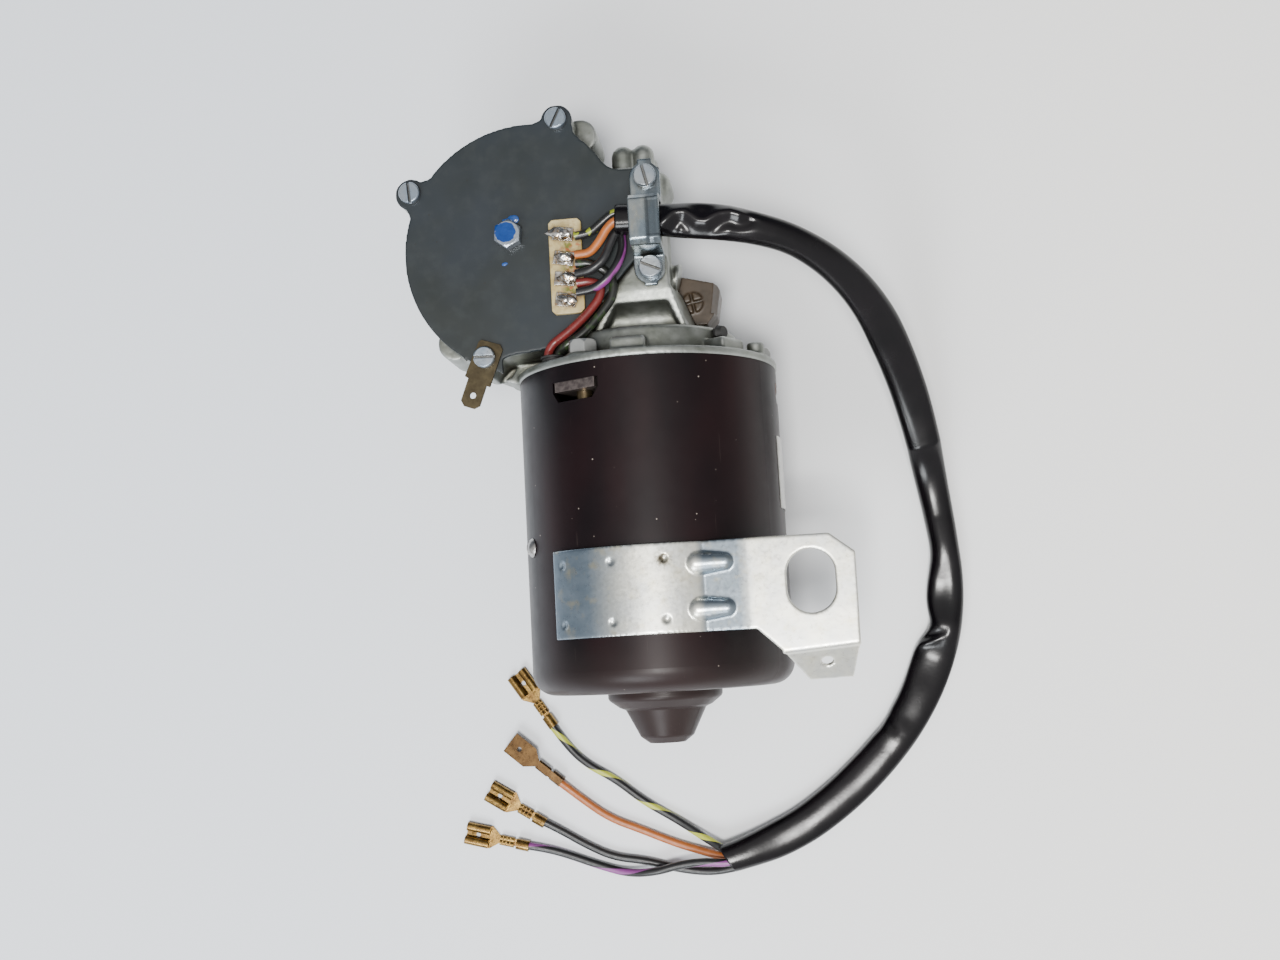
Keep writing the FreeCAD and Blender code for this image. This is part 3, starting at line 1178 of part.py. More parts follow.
STRIP_LEADS = {
    "lead_yellow_green": [(-17.6, 41.8, 67.4), (-12.6, 42.4, 67.4), (-8.6, 45.2, 68.4),
                          (-5.4, 47.4, 69.0), (-1.5, 48.0, 69.1)],
    "lead_orange": [(-17.6, 35.9, 67.4), (-13.0, 36.0, 67.6), (-9.8, 38.8, 69.0),
                    (-7.0, 42.4, 70.6), (-4.6, 44.3, 71.3), (-1.5, 44.7, 71.4)],
    "lead_black": [(-17.6, 29.9, 67.6), (-12.5, 30.2, 69.0), (-8.4, 33.2, 69.2),
                   (-6.6, 37.6, 68.7), (-4.6, 41.6, 68.4), (-1.5, 42.4, 68.1)],
    "lead_violet": [(-17.6, 24.0, 67.4), (-12.3, 24.4, 68.2), (-8.0, 26.8, 69.0),
                    (-4.4, 31.4, 68.6), (-2.8, 37.0, 66.2), (-3.2, 42.2, 65.4), (-1.5, 45.7, 65.8)],
}

MOTOR_LEADS = {
    "motor_lead_red": [(-17.6, 26.9, 67.3), (-14.0, 27.2, 67.2), (-10.2, 26.3, 65.4),
                       (-10.9, 22.2, 65.4), (-14.8, 17.6, 65.5), (-20.2, 12.8, 65.9),
                       (-26.4, 8.4, 66.4), (-28.1, 6.0, 64.5)],
    "motor_lead_black": [(-17.6, 33.1, 67.3), (-13.9, 33.0, 67.3), (-9.2, 31.2, 65.4),
                         (-6.1, 26.8, 65.4), (-7.2, 21.4, 65.4), (-11.6, 16.2, 65.6),
                         (-16.6, 11.1, 66.2), (-22.3, 7.7, 66.4), (-24.9, 6.0, 64.5)],
}

TAIL_WIRES = {
    "wire_yellow_green": [(21.3, -154.1, 4.6), (15.5, -155.6, 4.6), (8.0, -151.0, 2.0), (-1.5, -144.6, 0.0),
                          (-13.5, -137.4, -0.2), (-23.0, -129.5, -0.2), (-33.0, -123.8, -0.2),
                          (-39.5, -117.0, -0.1), (-44.6, -109.2, 0.3)],
    "wire_orange": [(21.3, -156.1, 1.8), (15.5, -157.6, 1.8), (6.5, -155.0, 0.6), (-3.5, -151.8, -0.2),
                    (-14.5, -147.0, -0.2), (-25.5, -142.6, -0.2), (-35.0, -135.6, -0.1),
                    (-42.6, -129.3, 0.5)],
    "wire_black": [(21.8, -159.0, 2.2), (16.0, -160.6, 2.2), (7.0, -161.8, 0.0), (-3.5, -160.2, -0.2),
                   (-13.5, -157.2, -0.2), (-25.0, -155.6, -0.2), (-35.0, -150.6, -0.2),
                   (-42.5, -146.0, -0.1), (-48.9, -142.6, 0.3)],
    "wire_violet": [(21.3, -157.1, 5.4), (15.5, -158.6, 5.4), (6.0, -157.6, 5.0), (-1.5, -158.4, 4.0),
                    (-10.5, -160.6, 3.8), (-20.0, -161.2, 0.6), (-30.5, -158.0, -0.2),
                    (-41.0, -154.0, -0.2), (-48.5, -151.8, 0.0), (-54.8, -150.6, 0.3)],
}

# wire entry, direction of the mouth, height of the wire, and whether the blade side is up
RECEPTACLES = [(-43.2, -110.8, 0.3, 124, False), (-41.4, -129.9, 0.5, 139.5, True),
               (-47.9, -143.4, 0.3, 148.2, False), (-53.8, -150.9, 0.3, 166, False)]


def harness():
    wire_tube("harness_sleeve", SLEEVE_ROUTE, size("sleeve_radius"))
    for label, points in STRIP_LEADS.items():
        wire_tube(label, points, size("lead_radius"))
    for (label, points), (x, z) in zip(MOTOR_LEADS.items(), LEAD_HOLES):
        wire_tube(label, points[:-1] + [(x, points[-1][1], z), (x, -0.9, z)], size("lead_radius"))
    for label, points in TAIL_WIRES.items():
        wire_tube(label, points, size("lead_radius"))


def receptacle_shape():
    """Push-on receptacle for a 6.3 mm blade, from its wire end at x = 0 to its mouth."""
    thick, wire = 0.45, size("lead_radius") + 0.05
    base = -wire - thick
    grip = Part.makeCylinder(wire + thick, 4.4, Vector(0, 0, 0), Vector(1, 0, 0))
    grip = grip.cut(Part.makeCylinder(wire, 6, Vector(-1, 0, 0), Vector(1, 0, 0)))
    floor = prism([(0, -1.2), (10.6, -1.2), (13.8, -3.8), (22.5, -3.8), (22.5, 3.8), (13.8, 3.8),
                   (10.6, 1.2), (0, 1.2)], base, base + thick)
    crimp = rod(0.95, (5.4, 0.75, base + 1.1), (10.4, 0.75, base + 1.1))
    crimp = crimp.fuse(rod(0.95, (5.4, -0.75, base + 1.1), (10.4, -0.75, base + 1.1)))
    for x in (6.6, 7.9, 9.2):
        crimp = crimp.cut(block((x, -3, base + 1.8), (x + 0.4, 3, base + 3)))
    floor = floor.cut(Part.makeCylinder(wire, 6, Vector(-1, 0, 0), Vector(1, 0, 0)))
    whole = grip.fuse(floor).fuse(crimp)
    for side in (-1, 1):
        curl_y, curl_z = side * 2.3, base + 1.5
        curl = rod(1.5, (14.2, curl_y, curl_z), (22.5, curl_y, curl_z))
        curl = curl.cut(rod(1.5 - thick, (14, curl_y, curl_z), (23, curl_y, curl_z)))
        near, far = sorted((side * 0.4, side * 2.0))
        mouth = block((14, near, base + 0.5), (23, far, base + 1.75))
        whole = whole.fuse(curl.cut(mouth))
    dimple = rod(0.8, (18.4, 0, base - 0.5), (18.4, 0, base + 1))
    return whole.cut(dimple)


def receptacles():
    for number, (x, y, z, angle, flipped) in enumerate(RECEPTACLES, start=1):
        shape = receptacle_shape()
        if flipped:
            shape.rotate(Vector(), Vector(1, 0, 0), 180)
        shape.rotate(Vector(), Z_AXIS, angle)
        shape.translate(Vector(x, y, z))
        solid("receptacle_%d" % number, shape)


# ---------------------------------------------------------------- build, check, write

motor_can()
nameplate()
through_bolts()
field()
armature_shaft()
armature_core()
armature_winding()
commutator()
worm()
rear_bearing()
front_bearing()
end_bearing()
brush_gear()
worm_wheel()
wheel_hub()
contact_disc()
output_shaft()
output_fittings()
outside = housing_outside()
gear_housing(outside)
drain_plug()
lead_grommet()
cover()
cover_screws()
axle_adjusting_screw()
terminal_strip()
cable_clamp()
earth_tab()
breather_cap(outside)
mounting_bracket()
harness()
receptacles()

doc.recompute()
for thing in doc.Objects:
    if "Invalid" in thing.State or "Error" in thing.State:
        raise ValueError("%s failed: %s" % (thing.Label, thing.State))

os.makedirs("parts", exist_ok=True)
for thing in parts:
    shape = thing.Shape
    if shape.isNull() or not shape.isValid() or not shape.Solids:
        raise ValueError("%s is not a valid solid" % thing.Label)
for thing in parts:
    thing.Shape.exportStep("parts/%s.step" % thing.Label)
print("%d sub-parts written" % len(parts))
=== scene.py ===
import json
import math

import bmesh
import bpy
import numpy as np
from mathutils import Euler, Matrix, Vector, noise

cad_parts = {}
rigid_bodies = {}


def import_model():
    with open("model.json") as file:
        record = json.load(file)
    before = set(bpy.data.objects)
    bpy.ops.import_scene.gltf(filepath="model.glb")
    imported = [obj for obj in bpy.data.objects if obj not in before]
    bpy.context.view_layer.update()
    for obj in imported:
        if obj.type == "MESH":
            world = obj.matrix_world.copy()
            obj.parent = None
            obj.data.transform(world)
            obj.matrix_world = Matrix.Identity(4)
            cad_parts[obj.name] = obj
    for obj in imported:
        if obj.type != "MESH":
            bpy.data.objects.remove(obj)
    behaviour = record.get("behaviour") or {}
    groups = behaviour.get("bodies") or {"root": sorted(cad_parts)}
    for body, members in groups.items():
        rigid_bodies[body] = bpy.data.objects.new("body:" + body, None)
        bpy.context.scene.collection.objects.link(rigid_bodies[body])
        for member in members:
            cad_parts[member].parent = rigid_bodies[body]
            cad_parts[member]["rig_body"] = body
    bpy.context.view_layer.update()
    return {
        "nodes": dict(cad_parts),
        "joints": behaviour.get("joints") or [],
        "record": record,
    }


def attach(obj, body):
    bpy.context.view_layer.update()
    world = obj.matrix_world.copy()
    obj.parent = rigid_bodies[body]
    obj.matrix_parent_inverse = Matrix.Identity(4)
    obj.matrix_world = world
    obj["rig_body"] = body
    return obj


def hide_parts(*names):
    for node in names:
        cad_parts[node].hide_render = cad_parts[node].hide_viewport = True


# Looks for a worm-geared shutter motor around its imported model. Points are written in
# millimetres from the motor axis in x, from the can's rim in y and from the floor in z,
# as in the part's source, and at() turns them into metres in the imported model's frame.

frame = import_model()

MM = 0.001
FRAME = "motor_frame"
AXIS_HEIGHT = 40.0  # of the motor axis above the floor, in millimetres
SPIN = next(joint for joint in frame["joints"] if joint["name"] == "armature_spin")
START = Vector(SPIN["pos_m"]) - Vector((0, 0, AXIS_HEIGHT * MM))
# places on the gear cover: the hexagon's middle, the joints' rows and the tops of cover and strip
HEXAGON = (-38.7, 44.6)
TAB_ROWS = (43.2, 35.4, 28.9, 22.2)
COVER_TOP = 64.0
STRIP_TOP = 66.6


def at(x, y, z):
    return START + Vector((x, y, z)) * MM


# ---------------------------------------------------------------- camera, floor and light

def camera():
    """Nearly straight above, a little to the right of the motor and below its middle."""
    data = bpy.data.cameras.new("camera")
    data.lens = 40.31
    data.clip_start, data.clip_end = 0.01, 20
    made = bpy.data.objects.new("camera", data)
    made.location = at(46.26, -88.05, 494.82)
    made.rotation_euler = Euler([math.radians(turn) for turn in (6.603, 6.719, -3.140)])
    bpy.context.scene.collection.objects.link(made)
    bpy.context.scene.camera = made


def softbox(name, place, aim, width, height, power, colour):
    data = bpy.data.lights.new(name, "AREA")
    data.shape = "RECTANGLE"
    data.size, data.size_y = width, height
    data.energy = power
    data.color = colour
    made = bpy.data.objects.new(name, data)
    made.location = Vector(place)
    made.rotation_euler = (Vector(aim) - Vector(place)).to_track_quat("-Z", "Y").to_euler()
    bpy.context.scene.collection.objects.link(made)


def studio():
    """A pale room: white overhead, dim and bluish low on the left, warmer low on the right."""
    world = bpy.data.worlds.new("studio")
    world.use_nodes = True
    nodes, links = world.node_tree.nodes, world.node_tree.links

    def node(kind, **settings):
        made = nodes.new("ShaderNode" + kind)
        for key, value in settings.items():
            setattr(made, key, value)
        return made

    def ramp(socket, low, high):
        made = node("MapRange", interpolation_type="SMOOTHSTEP")
        links.new(socket, made.inputs["Value"])
        made.inputs["From Min"].default_value = low
        made.inputs["From Max"].default_value = high
        return made.outputs[0]

    def blend(share, first, second):
        made = node("Mix", data_type="RGBA")
        links.new(share, made.inputs[0])
        for index, value in ((6, first), (7, second)):
            if isinstance(value, tuple):
                made.inputs[index].default_value = (*value, 1)
            else:
                links.new(value, made.inputs[index])
        return made.outputs[2]

    way = node("SeparateXYZ")
    links.new(node("TexCoord").outputs["Generated"], way.inputs[0])
    across, along, upwards = way.outputs
    low = blend(ramp(across, -0.8, 0.7), (0.02, 0.04, 0.08), (0.36, 0.35, 0.34))
    low = blend(ramp(along, -0.5, 0.6), (0.80, 0.80, 0.80), low)
    low = blend(ramp(along, 0.1, 0.9), low, (0.10, 0.12, 0.15))
    sky = blend(ramp(upwards, 0.55, 0.97), low, (1.0, 0.99, 0.98))
    links.new(sky, nodes["Background"].inputs["Color"])
    nodes["Background"].inputs["Strength"].default_value = 0.95
    bpy.context.scene.world = world
    softbox("ceiling_light", (0.02, -0.44, 1.62), (0, -0.05, 0), 0.36, 0.30, 31, (1.0, 0.985, 0.96))
    softbox("window_light", (-0.35, -1.05, 0.95), (0, -0.03, 0.02), 0.6, 0.5, 17, (0.93, 0.97, 1.0))


# ---------------------------------------------------------------- materials

class Finish:
    """A node material under construction; an input can be a number, a colour or a socket."""

    def __init__(self, name):
        self.material = bpy.data.materials.new(name)
        self.material.use_nodes = True
        self.tree = self.material.node_tree
        self.shader = self.tree.nodes["Principled BSDF"]
        self.where = self.add("TexCoord", "Object")

    def add(self, kind, output=0, inputs=(), **settings):
        made = self.tree.nodes.new("ShaderNode" + kind)
        for key, value in settings.items():
            setattr(made, key, value)
        for key, value in dict(inputs).items():
            self.feed(made.inputs[key], value)
        return made.outputs[output]

    def feed(self, socket, value):
        if isinstance(value, bpy.types.NodeSocket):
            self.tree.links.new(value, socket)
        elif socket.type == "RGBA" and not isinstance(value, (int, float)):
            socket.default_value = (*value, 1)
        else:
            socket.default_value = value

    def noise(self, size, detail=3.0, stretch=(1, 1, 1), shift=(0, 0, 0), rough=0.55):
        """Noise with features about size millimetres wide, longer along axes with stretch above 1."""
        scale = [1 / (size * MM * long) for long in stretch]
        spot = self.add("Mapping", inputs={"Vector": self.where, "Scale": scale, "Location": shift})
        return self.add("TexNoise", inputs={"Vector": spot, "Scale": 1.0, "Detail": detail,
                                            "Roughness": rough})

    def cells(self, size):
        """How far a spot is from the middle of its cell; cells are about size millimetres wide."""
        spot = self.add("Mapping", inputs={"Vector": self.where, "Scale": [1 / (size * MM)] * 3})
        return self.add("TexVoronoi", "Distance", {"Vector": spot, "Scale": 1.0})

    def span(self, value, low, high, start=0.0, end=1.0):
        """Carry low..high on to start..end, held at the ends."""
        return self.add("MapRange", inputs={"Value": value, "From Min": low, "From Max": high,
                                            "To Min": start, "To Max": end})

    def mix(self, share, first, second):
        made = self.tree.nodes.new("ShaderNodeMix")
        made.data_type = "RGBA"
        self.feed(made.inputs[0], share)
        self.feed(made.inputs[6], first)
        self.feed(made.inputs[7], second)
        return made.outputs[2]

    def sum(self, operation, first, second=0.0):
        return self.add("Math", inputs={0: first, 1: second}, operation=operation)

    def bump(self, height, depth, under=None):
        """A bump whose full height is depth millimetres."""
        inputs = {"Height": height, "Distance": depth * MM, "Strength": 1.0}
        if under is not None:
            inputs["Normal"] = under
        return self.add("Bump", inputs=inputs)

    def both(self, first, second):
        return self.sum("MULTIPLY", first, second)

    def edges(self, low=0.52, high=0.60):
        """1 on sharp outer edges, 0 elsewhere."""
        return self.span(self.add("NewGeometry", "Pointiness"), low, high)

    def creases(self, reach=2.0, low=0.35, high=0.85):
        """1 in corners and gaps, 0 in the open, by ambient occlusion; darkening mixed in by it is painted
        shade.
        """
        depth = self.add("AmbientOcclusion", "AO", {"Distance": reach * MM}, samples=6)
        return self.span(depth, low, high, 1.0, 0.0)

    def near(self, place, inner, outer):
        """1 within inner millimetres of a place, 0 beyond outer."""
        gap = self.add("VectorMath", "Value", {0: self.where, 1: at(*place)}, operation="DISTANCE")
        return self.span(gap, inner * MM, outer * MM, 1.0, 0.0)

    def along(self, axis, low, high):
        """0 at low and 1 at high along an axis of the source's frame, held beyond them."""
        index = "XYZ".index(axis)
        reading = self.add("SeparateXYZ", index, {"Vector": self.where})
        ends = [at(*[value] * 3)[index] for value in (low, high)]
        return self.span(reading, *ends)

    def facing(self, way, low, high):
        """1 where the surface faces a direction, 0 where it turns away."""
        share = self.add("VectorMath", "Value", {0: self.add("NewGeometry", "Normal"),
                                                 1: Vector(way).normalized()}, operation="DOT_PRODUCT")
        return self.span(share, low, high)

    def round_edges(self, radius):
        return self.add("Bevel", inputs={"Radius": radius * MM}, samples=4)

    def shade(self, **inputs):
        for key, value in inputs.items():
            self.feed(self.shader.inputs[key.replace("_", " ")], value)
        return self.material


def can_paint():
    """Near-black aubergine dip coat: faint drawn marks, dust specks, a few light scratches and a painted
    highlight towards the can's closed end.
    """
    paint = Finish("can_paint")
    broad = paint.noise(26, 2, (1, 2.5, 1))
    base = paint.mix(paint.span(broad, 0.35, 0.65), (0.0030, 0.0017, 0.0025), (0.0105, 0.0034, 0.0042))
    streaks = paint.noise(1.1, 3, (1, 40, 1))
    base = paint.mix(paint.span(streaks, 0.62, 0.85, 0, 0.06), base, (0.016, 0.010, 0.010))
    dust = paint.noise(2.4, 6, rough=0.8)
    base = paint.mix(paint.span(dust, 0.70, 0.90, 0, 0.16), base, (0.05, 0.040, 0.037))
    specks = paint.span(paint.cells(4.2), 0.045, 0.060, 1, 0)
    chosen = paint.span(paint.noise(9, 1), 0.50, 0.55)
    base = paint.mix(paint.both(specks, chosen), base, (0.26, 0.22, 0.19))
    # Base lightened towards the can's closed end: painted highlight.
    bottom_highlight = paint.both(paint.along("Y", -82.0, -101.0), 0.75)
    base = paint.mix(bottom_highlight, base, (0.026, 0.018, 0.017))
    scratch = paint.noise(0.5, 2, (1, 44, 1), (3, 0, 0))
    base = paint.mix(paint.span(scratch, 0.74, 0.77, 0, 0.3), base, (0.09, 0.07, 0.06))
    rough = paint.span(paint.noise(5.0, 5), 0.3, 0.7, 0.36, 0.41)
    skin = paint.bump(paint.noise(0.5, 3), 0.004)
    return paint.shade(Base_Color=base, Roughness=rough, Normal=skin, Specular_IOR_Level=0.19)


def cast_alloy():
    """Dull die casting: fine skin, edges lighter as rubbed metal and painted highlight, dark grey-green
    painted shade in the corners.
    """
    cast = Finish("cast_alloy")
    base = cast.mix(cast.span(cast.noise(8, 4), 0.35, 0.7), (0.19, 0.203, 0.178), (0.33, 0.345, 0.325))
    base = cast.mix(cast.span(cast.noise(1.4, 5), 0.55, 0.8, 0, 0.45), base, (0.16, 0.165, 0.13))
    # Lighter on sharp edges: rubbed metal and painted highlight.
    base = cast.mix(cast.both(cast.edges(0.512, 0.56), 0.6), base, (0.55, 0.57, 0.56))
    # Darker grey-green in corners and gaps by ambient occlusion: painted shade.
    base = cast.mix(cast.both(cast.creases(6, 0.25, 0.95), 0.9), base, (0.045, 0.042, 0.028))
    rough = cast.span(cast.noise(2, 4), 0.3, 0.7, 0.36, 0.50)
    skin = cast.bump(cast.noise(0.35, 2), 0.015, cast.bump(cast.noise(4.5, 3), 0.16, cast.round_edges(0.5)))
    return cast.shade(Base_Color=base, Metallic=0.88, Roughness=rough, Normal=skin)


def cover_paint():
    """Matte blue-grey coat on the stamped cover, with rubbed patches and painted shade in the corners."""
    coat = Finish("cover_paint")
    base = coat.mix(coat.span(coat.noise(30, 3), 0.35, 0.65), (0.011, 0.0145, 0.014), (0.013, 0.018, 0.023))
    base = coat.mix(coat.span(coat.noise(4.5, 5), 0.5, 0.75, 0, 0.35), base, (0.026, 0.031, 0.031))
    pits = coat.span(coat.cells(2.6), 0.05, 0.13, 1, 0)
    chosen = coat.span(coat.noise(6, 1), 0.52, 0.60)
    base = coat.mix(coat.both(pits, chosen), base, (0.012, 0.012, 0.011))
    base = coat.mix(coat.both(coat.edges(0.53, 0.62), 0.4), base, (0.09, 0.09, 0.085))
    # Darker in corners and gaps by ambient occlusion: painted shade.
    base = coat.mix(coat.both(coat.creases(2.5), 0.5), base, (0.010, 0.010, 0.009))
    rough = coat.span(coat.noise(9, 4), 0.35, 0.7, 0.42, 0.56)
    skin = coat.bump(coat.noise(0.3, 2), 0.008, coat.bump(coat.noise(18, 1), 0.10, coat.round_edges(0.4)))
    return coat.shade(Base_Color=base, Roughness=rough, Normal=skin, Specular_IOR_Level=0.38)


def zinc(name, cool, warm, crease_shade, rough_low, rough_high):
    """Zinc plating: a cool and a warm tint in patches, fine scuffs, dark specks of grime and painted shade
    in the creases.
    """
    plate = Finish(name)
    tint = plate.mix(plate.span(plate.noise(11, 3), 0.38, 0.62), cool, warm)
    tint = plate.mix(plate.span(plate.noise(1.8, 5), 0.55, 0.8, 0, 0.5), tint, (0.42, 0.43, 0.42))
    specks = plate.span(plate.cells(3.1), 0.07, 0.12, 1, 0)
    chosen = plate.span(plate.noise(7, 2), 0.54, 0.60)
    tint = plate.mix(plate.both(specks, chosen), tint, (0.13, 0.11, 0.08))
    # Darker in corners and gaps by ambient occlusion: painted shade.
    tint = plate.mix(plate.both(plate.creases(2.0), crease_shade), tint, (0.10, 0.085, 0.06))
    rough = plate.span(plate.noise(1.2, 4), 0.3, 0.7, rough_low, rough_high)
    skin = plate.bump(plate.noise(0.6, 3), 0.006, plate.round_edges(0.35))
    return plate.shade(Base_Color=tint, Metallic=0.92, Roughness=rough, Normal=skin)


def bracket_zinc():
    """Zinc on the bracket: painted bluish reflection on the sloping arm and the left end, yellow stains by
    the edges, painted shade in the welds and painted highlight on the edges.
    """
    plate = Finish("bracket_zinc")
    tint = plate.mix(plate.span(plate.noise(9, 3), 0.38, 0.62), (0.66, 0.67, 0.64), (0.76, 0.75, 0.66))
    # Darker blue-grey on the left end and on the sloping arm: painted reflection of the dim side of the
    # room.
    bluish = plate.mix(plate.noise(4, 3, (2, 1, 1)), (0.15, 0.20, 0.25), (0.30, 0.36, 0.42))
    arm = plate.both(plate.along("X", 15.2, 17.2), plate.along("X", 31.5, 27.0))
    tint = plate.mix(plate.along("X", -3.0, -17.0), tint, bluish)
    tint = plate.mix(plate.both(arm, 0.9), tint, bluish)
    yellow = plate.span(plate.noise(4.5, 4, shift=(3, 1, 5)), 0.55, 0.75, 0, 0.5)
    tint = plate.mix(yellow, tint, (0.52, 0.46, 0.27))
    veins = plate.span(plate.noise(1.0, 4, (1.8, 1, 1), (1, 9, 2)), 0.60, 0.80, 0, 0.35)
    tint = plate.mix(veins, tint, (0.33, 0.32, 0.27))
    stain = plate.near((5.8, -60.6, 82), 1.4, 3.6)
    ragged = plate.span(plate.noise(1.2, 4), 0.40, 0.60, 0.2, 1.0)
    tint = plate.mix(plate.both(stain, ragged), tint, (0.17, 0.145, 0.10))
    # Darker in corners and weld dents by ambient occlusion: painted shade.
    tint = plate.mix(plate.both(plate.creases(1.6, 0.30, 0.8), 0.7), tint, (0.11, 0.09, 0.06))
    # Near-white on sharp edges: painted highlight.
    tint = plate.mix(plate.both(plate.edges(0.53, 0.60), 0.4), tint, (0.85, 0.86, 0.88))
    rough = plate.span(plate.noise(1.1, 4), 0.3, 0.7, 0.26, 0.38)
    dents = plate.bump(plate.noise(8, 2), 0.06, plate.round_edges(0.35))
    skin = plate.bump(plate.noise(0.7, 3), 0.006, dents)
    return plate.shade(Base_Color=tint, Metallic=0.9, Roughness=rough, Normal=skin)


def clamp_zinc():
    """Zinc on the cable clamp, shaded as a band crowned across its width with a groove in it, with painted
    shade in its corners and a painted dark stripe along it.
    """
    band = Finish("clamp_zinc")
    patches = band.span(band.noise(6, 3, (1, 2, 1)), 0.38, 0.62)
    tint = band.mix(patches, (0.19, 0.235, 0.27), (0.32, 0.34, 0.33))
    stain = band.span(band.noise(1.6, 4, (1, 2.5, 1), (2, 0, 1)), 0.56, 0.76, 0, 0.4)
    tint = band.mix(stain, tint, (0.36, 0.33, 0.24))
    # Darker in corners and gaps by ambient occlusion: painted shade.
    tint = band.mix(band.both(band.creases(2.2), 0.8), tint, (0.07, 0.065, 0.055))
    # A dark blue-grey stripe along the band, right of its middle: painted shade.
    shade = band.both(band.along("X", 4.6, 6.0), band.along("X", 9.8, 8.4))
    tint = band.mix(band.both(shade, 0.7), tint, (0.07, 0.085, 0.10))
    across = band.along("X", 3.0, 9.9)
    middle = band.both(band.along("Y", 35.0, 38.5), band.along("Y", 52.0, 49.0))
    crown = band.both(band.both(across, across), -1.0)
    groove = band.both(band.along("X", 5.4, 6.5), band.along("X", 7.6, 6.5))
    shape = band.both(band.sum("SUBTRACT", crown, band.both(groove, 0.3)), middle)
    rough = band.span(band.noise(1.2, 4), 0.3, 0.7, 0.20, 0.32)
    skin = band.bump(band.noise(2.4, 2), 0.05, band.bump(shape, 1.1, band.round_edges(0.3)))
    return band.shade(Base_Color=tint, Metallic=0.92, Roughness=rough, Normal=skin)


def brass(name, bright, dull, stain, spotted=0.5, rough=0.34):
    """Brass in bright and dull patches, spotted with stains, with painted shade in the hollows."""
    metal = Finish(name)
    base = metal.mix(metal.span(metal.noise(3.2, 4), 0.35, 0.65), bright, dull)
    base = metal.mix(metal.span(metal.noise(1.1, 5, shift=(7, 1, 3)), 0.52, 0.72, 0, spotted), base, stain)
    # The stain colour again in corners and gaps by ambient occlusion: painted shade.
    base = metal.mix(metal.both(metal.creases(1.0), 0.8), base, stain)
    skin = metal.bump(metal.noise(0.4, 3), 0.012, metal.round_edges(0.15))
    rough = metal.span(metal.noise(0.9, 3), 0.3, 0.7, rough - 0.08, rough + 0.12)
    return metal.shade(Base_Color=base, Metallic=0.9, Roughness=rough, Normal=skin)


def insulation(name, base, stripe=None, rough=0.36):
    """PVC insulation; a stripe is painted where the mesh's stripe attribute is 1."""
    skin = Finish(name)
    colour = skin.mix(skin.span(skin.noise(3, 3), 0.3, 0.7), base, [0.72 * part for part in base])
    if stripe:
        mark = skin.add("Attribute", "Fac", attribute_name="stripe")
        wear = skin.sum("ADD", mark, skin.span(skin.noise(0.5, 2), 0, 1, -0.12, 0.12))
        colour = skin.mix(skin.span(wear, 0.44, 0.56), colour, stripe)
    grime = skin.span(skin.noise(1.6, 5), 0.55, 0.8, 0, 0.35)
    colour = skin.mix(grime, colour, [0.5 * part + 0.02 for part in base])
    normal = skin.bump(skin.noise(0.9, 2), 0.02)
    roughness = skin.span(skin.noise(1.5, 3), 0.3, 0.7, rough - 0.06, rough + 0.1)
    return skin.shade(Base_Color=colour, Roughness=roughness, Normal=normal, Specular_IOR_Level=0.5)


def patched_insulation(name, base, stripe, size, low, high, side=None):
    """Insulation with stripe colour in patches, or along the side that faces a direction."""
    skin = Finish(name)
    patch = skin.span(skin.noise(size, 1, (1, 1.6, 1)), low, high)
    if side:
        patch = skin.both(patch, skin.facing(side, 0.38, 0.54))
    colour = skin.mix(patch, base, stripe)
    normal = skin.bump(skin.noise(0.9, 2), 0.02)
    return skin.shade(Base_Color=colour, Roughness=0.30, Normal=normal)


def sleeve_pvc():
    """Soft black PVC sleeve: a faint purple sheen, long draw lines, dust in patches."""
    skin = Finish("sleeve_pvc")
    patches = skin.span(skin.noise(14, 3), 0.35, 0.65)
    base = skin.mix(patches, (0.0018, 0.0015, 0.0022), (0.0036, 0.0026, 0.0036))
    dust = skin.span(skin.noise(1.3, 6), 0.66, 0.88, 0, 0.3)
    base = skin.mix(dust, base, (0.035, 0.032, 0.03))
    rough = skin.span(skin.noise(6, 4), 0.3, 0.7, 0.20, 0.28)
    normal = skin.bump(skin.noise(1.1, 3), 0.02)
    return skin.shade(Base_Color=base, Roughness=rough, Normal=normal, Specular_IOR_Level=0.36)


def strip_board():
    """Cream phenolic strip, brown round the joints, with yellow-green flux in the gaps and painted shade in
    its corners.
    """
    board = Finish("strip_board")
    base = board.mix(board.span(board.noise(6, 3), 0.35, 0.65), (0.50, 0.41, 0.21), (0.34, 0.25, 0.085))
    edge = board.span(board.noise(1.6, 4), 0.50, 0.70, 0, 0.6)
    base = board.mix(edge, base, (0.27, 0.17, 0.055))
    for above, below in zip(TAB_ROWS, TAB_ROWS[1:]):
        stain = board.near((-18.6, (above + below) / 2, STRIP_TOP), 2.2, 5.0)
        ragged = board.span(board.noise(1.7, 4, shift=(above, 0, 0)), 0.42, 0.56)
        hue = board.mix(board.span(board.noise(2.2, 2, shift=(0, below, 0)), 0.45, 0.55),
                        (0.13, 0.13, 0.012), (0.34, 0.08, 0.015))
        base = board.mix(board.both(stain, ragged), base, hue)
    # Dark brown in corners and gaps by ambient occlusion: painted shade.
    base = board.mix(board.both(board.creases(1.8), 0.85), base, (0.09, 0.045, 0.015))
    skin = board.bump(board.noise(0.5, 3), 0.02, board.round_edges(0.35))
    return board.shade(Base_Color=base, Roughness=0.42, Normal=skin)


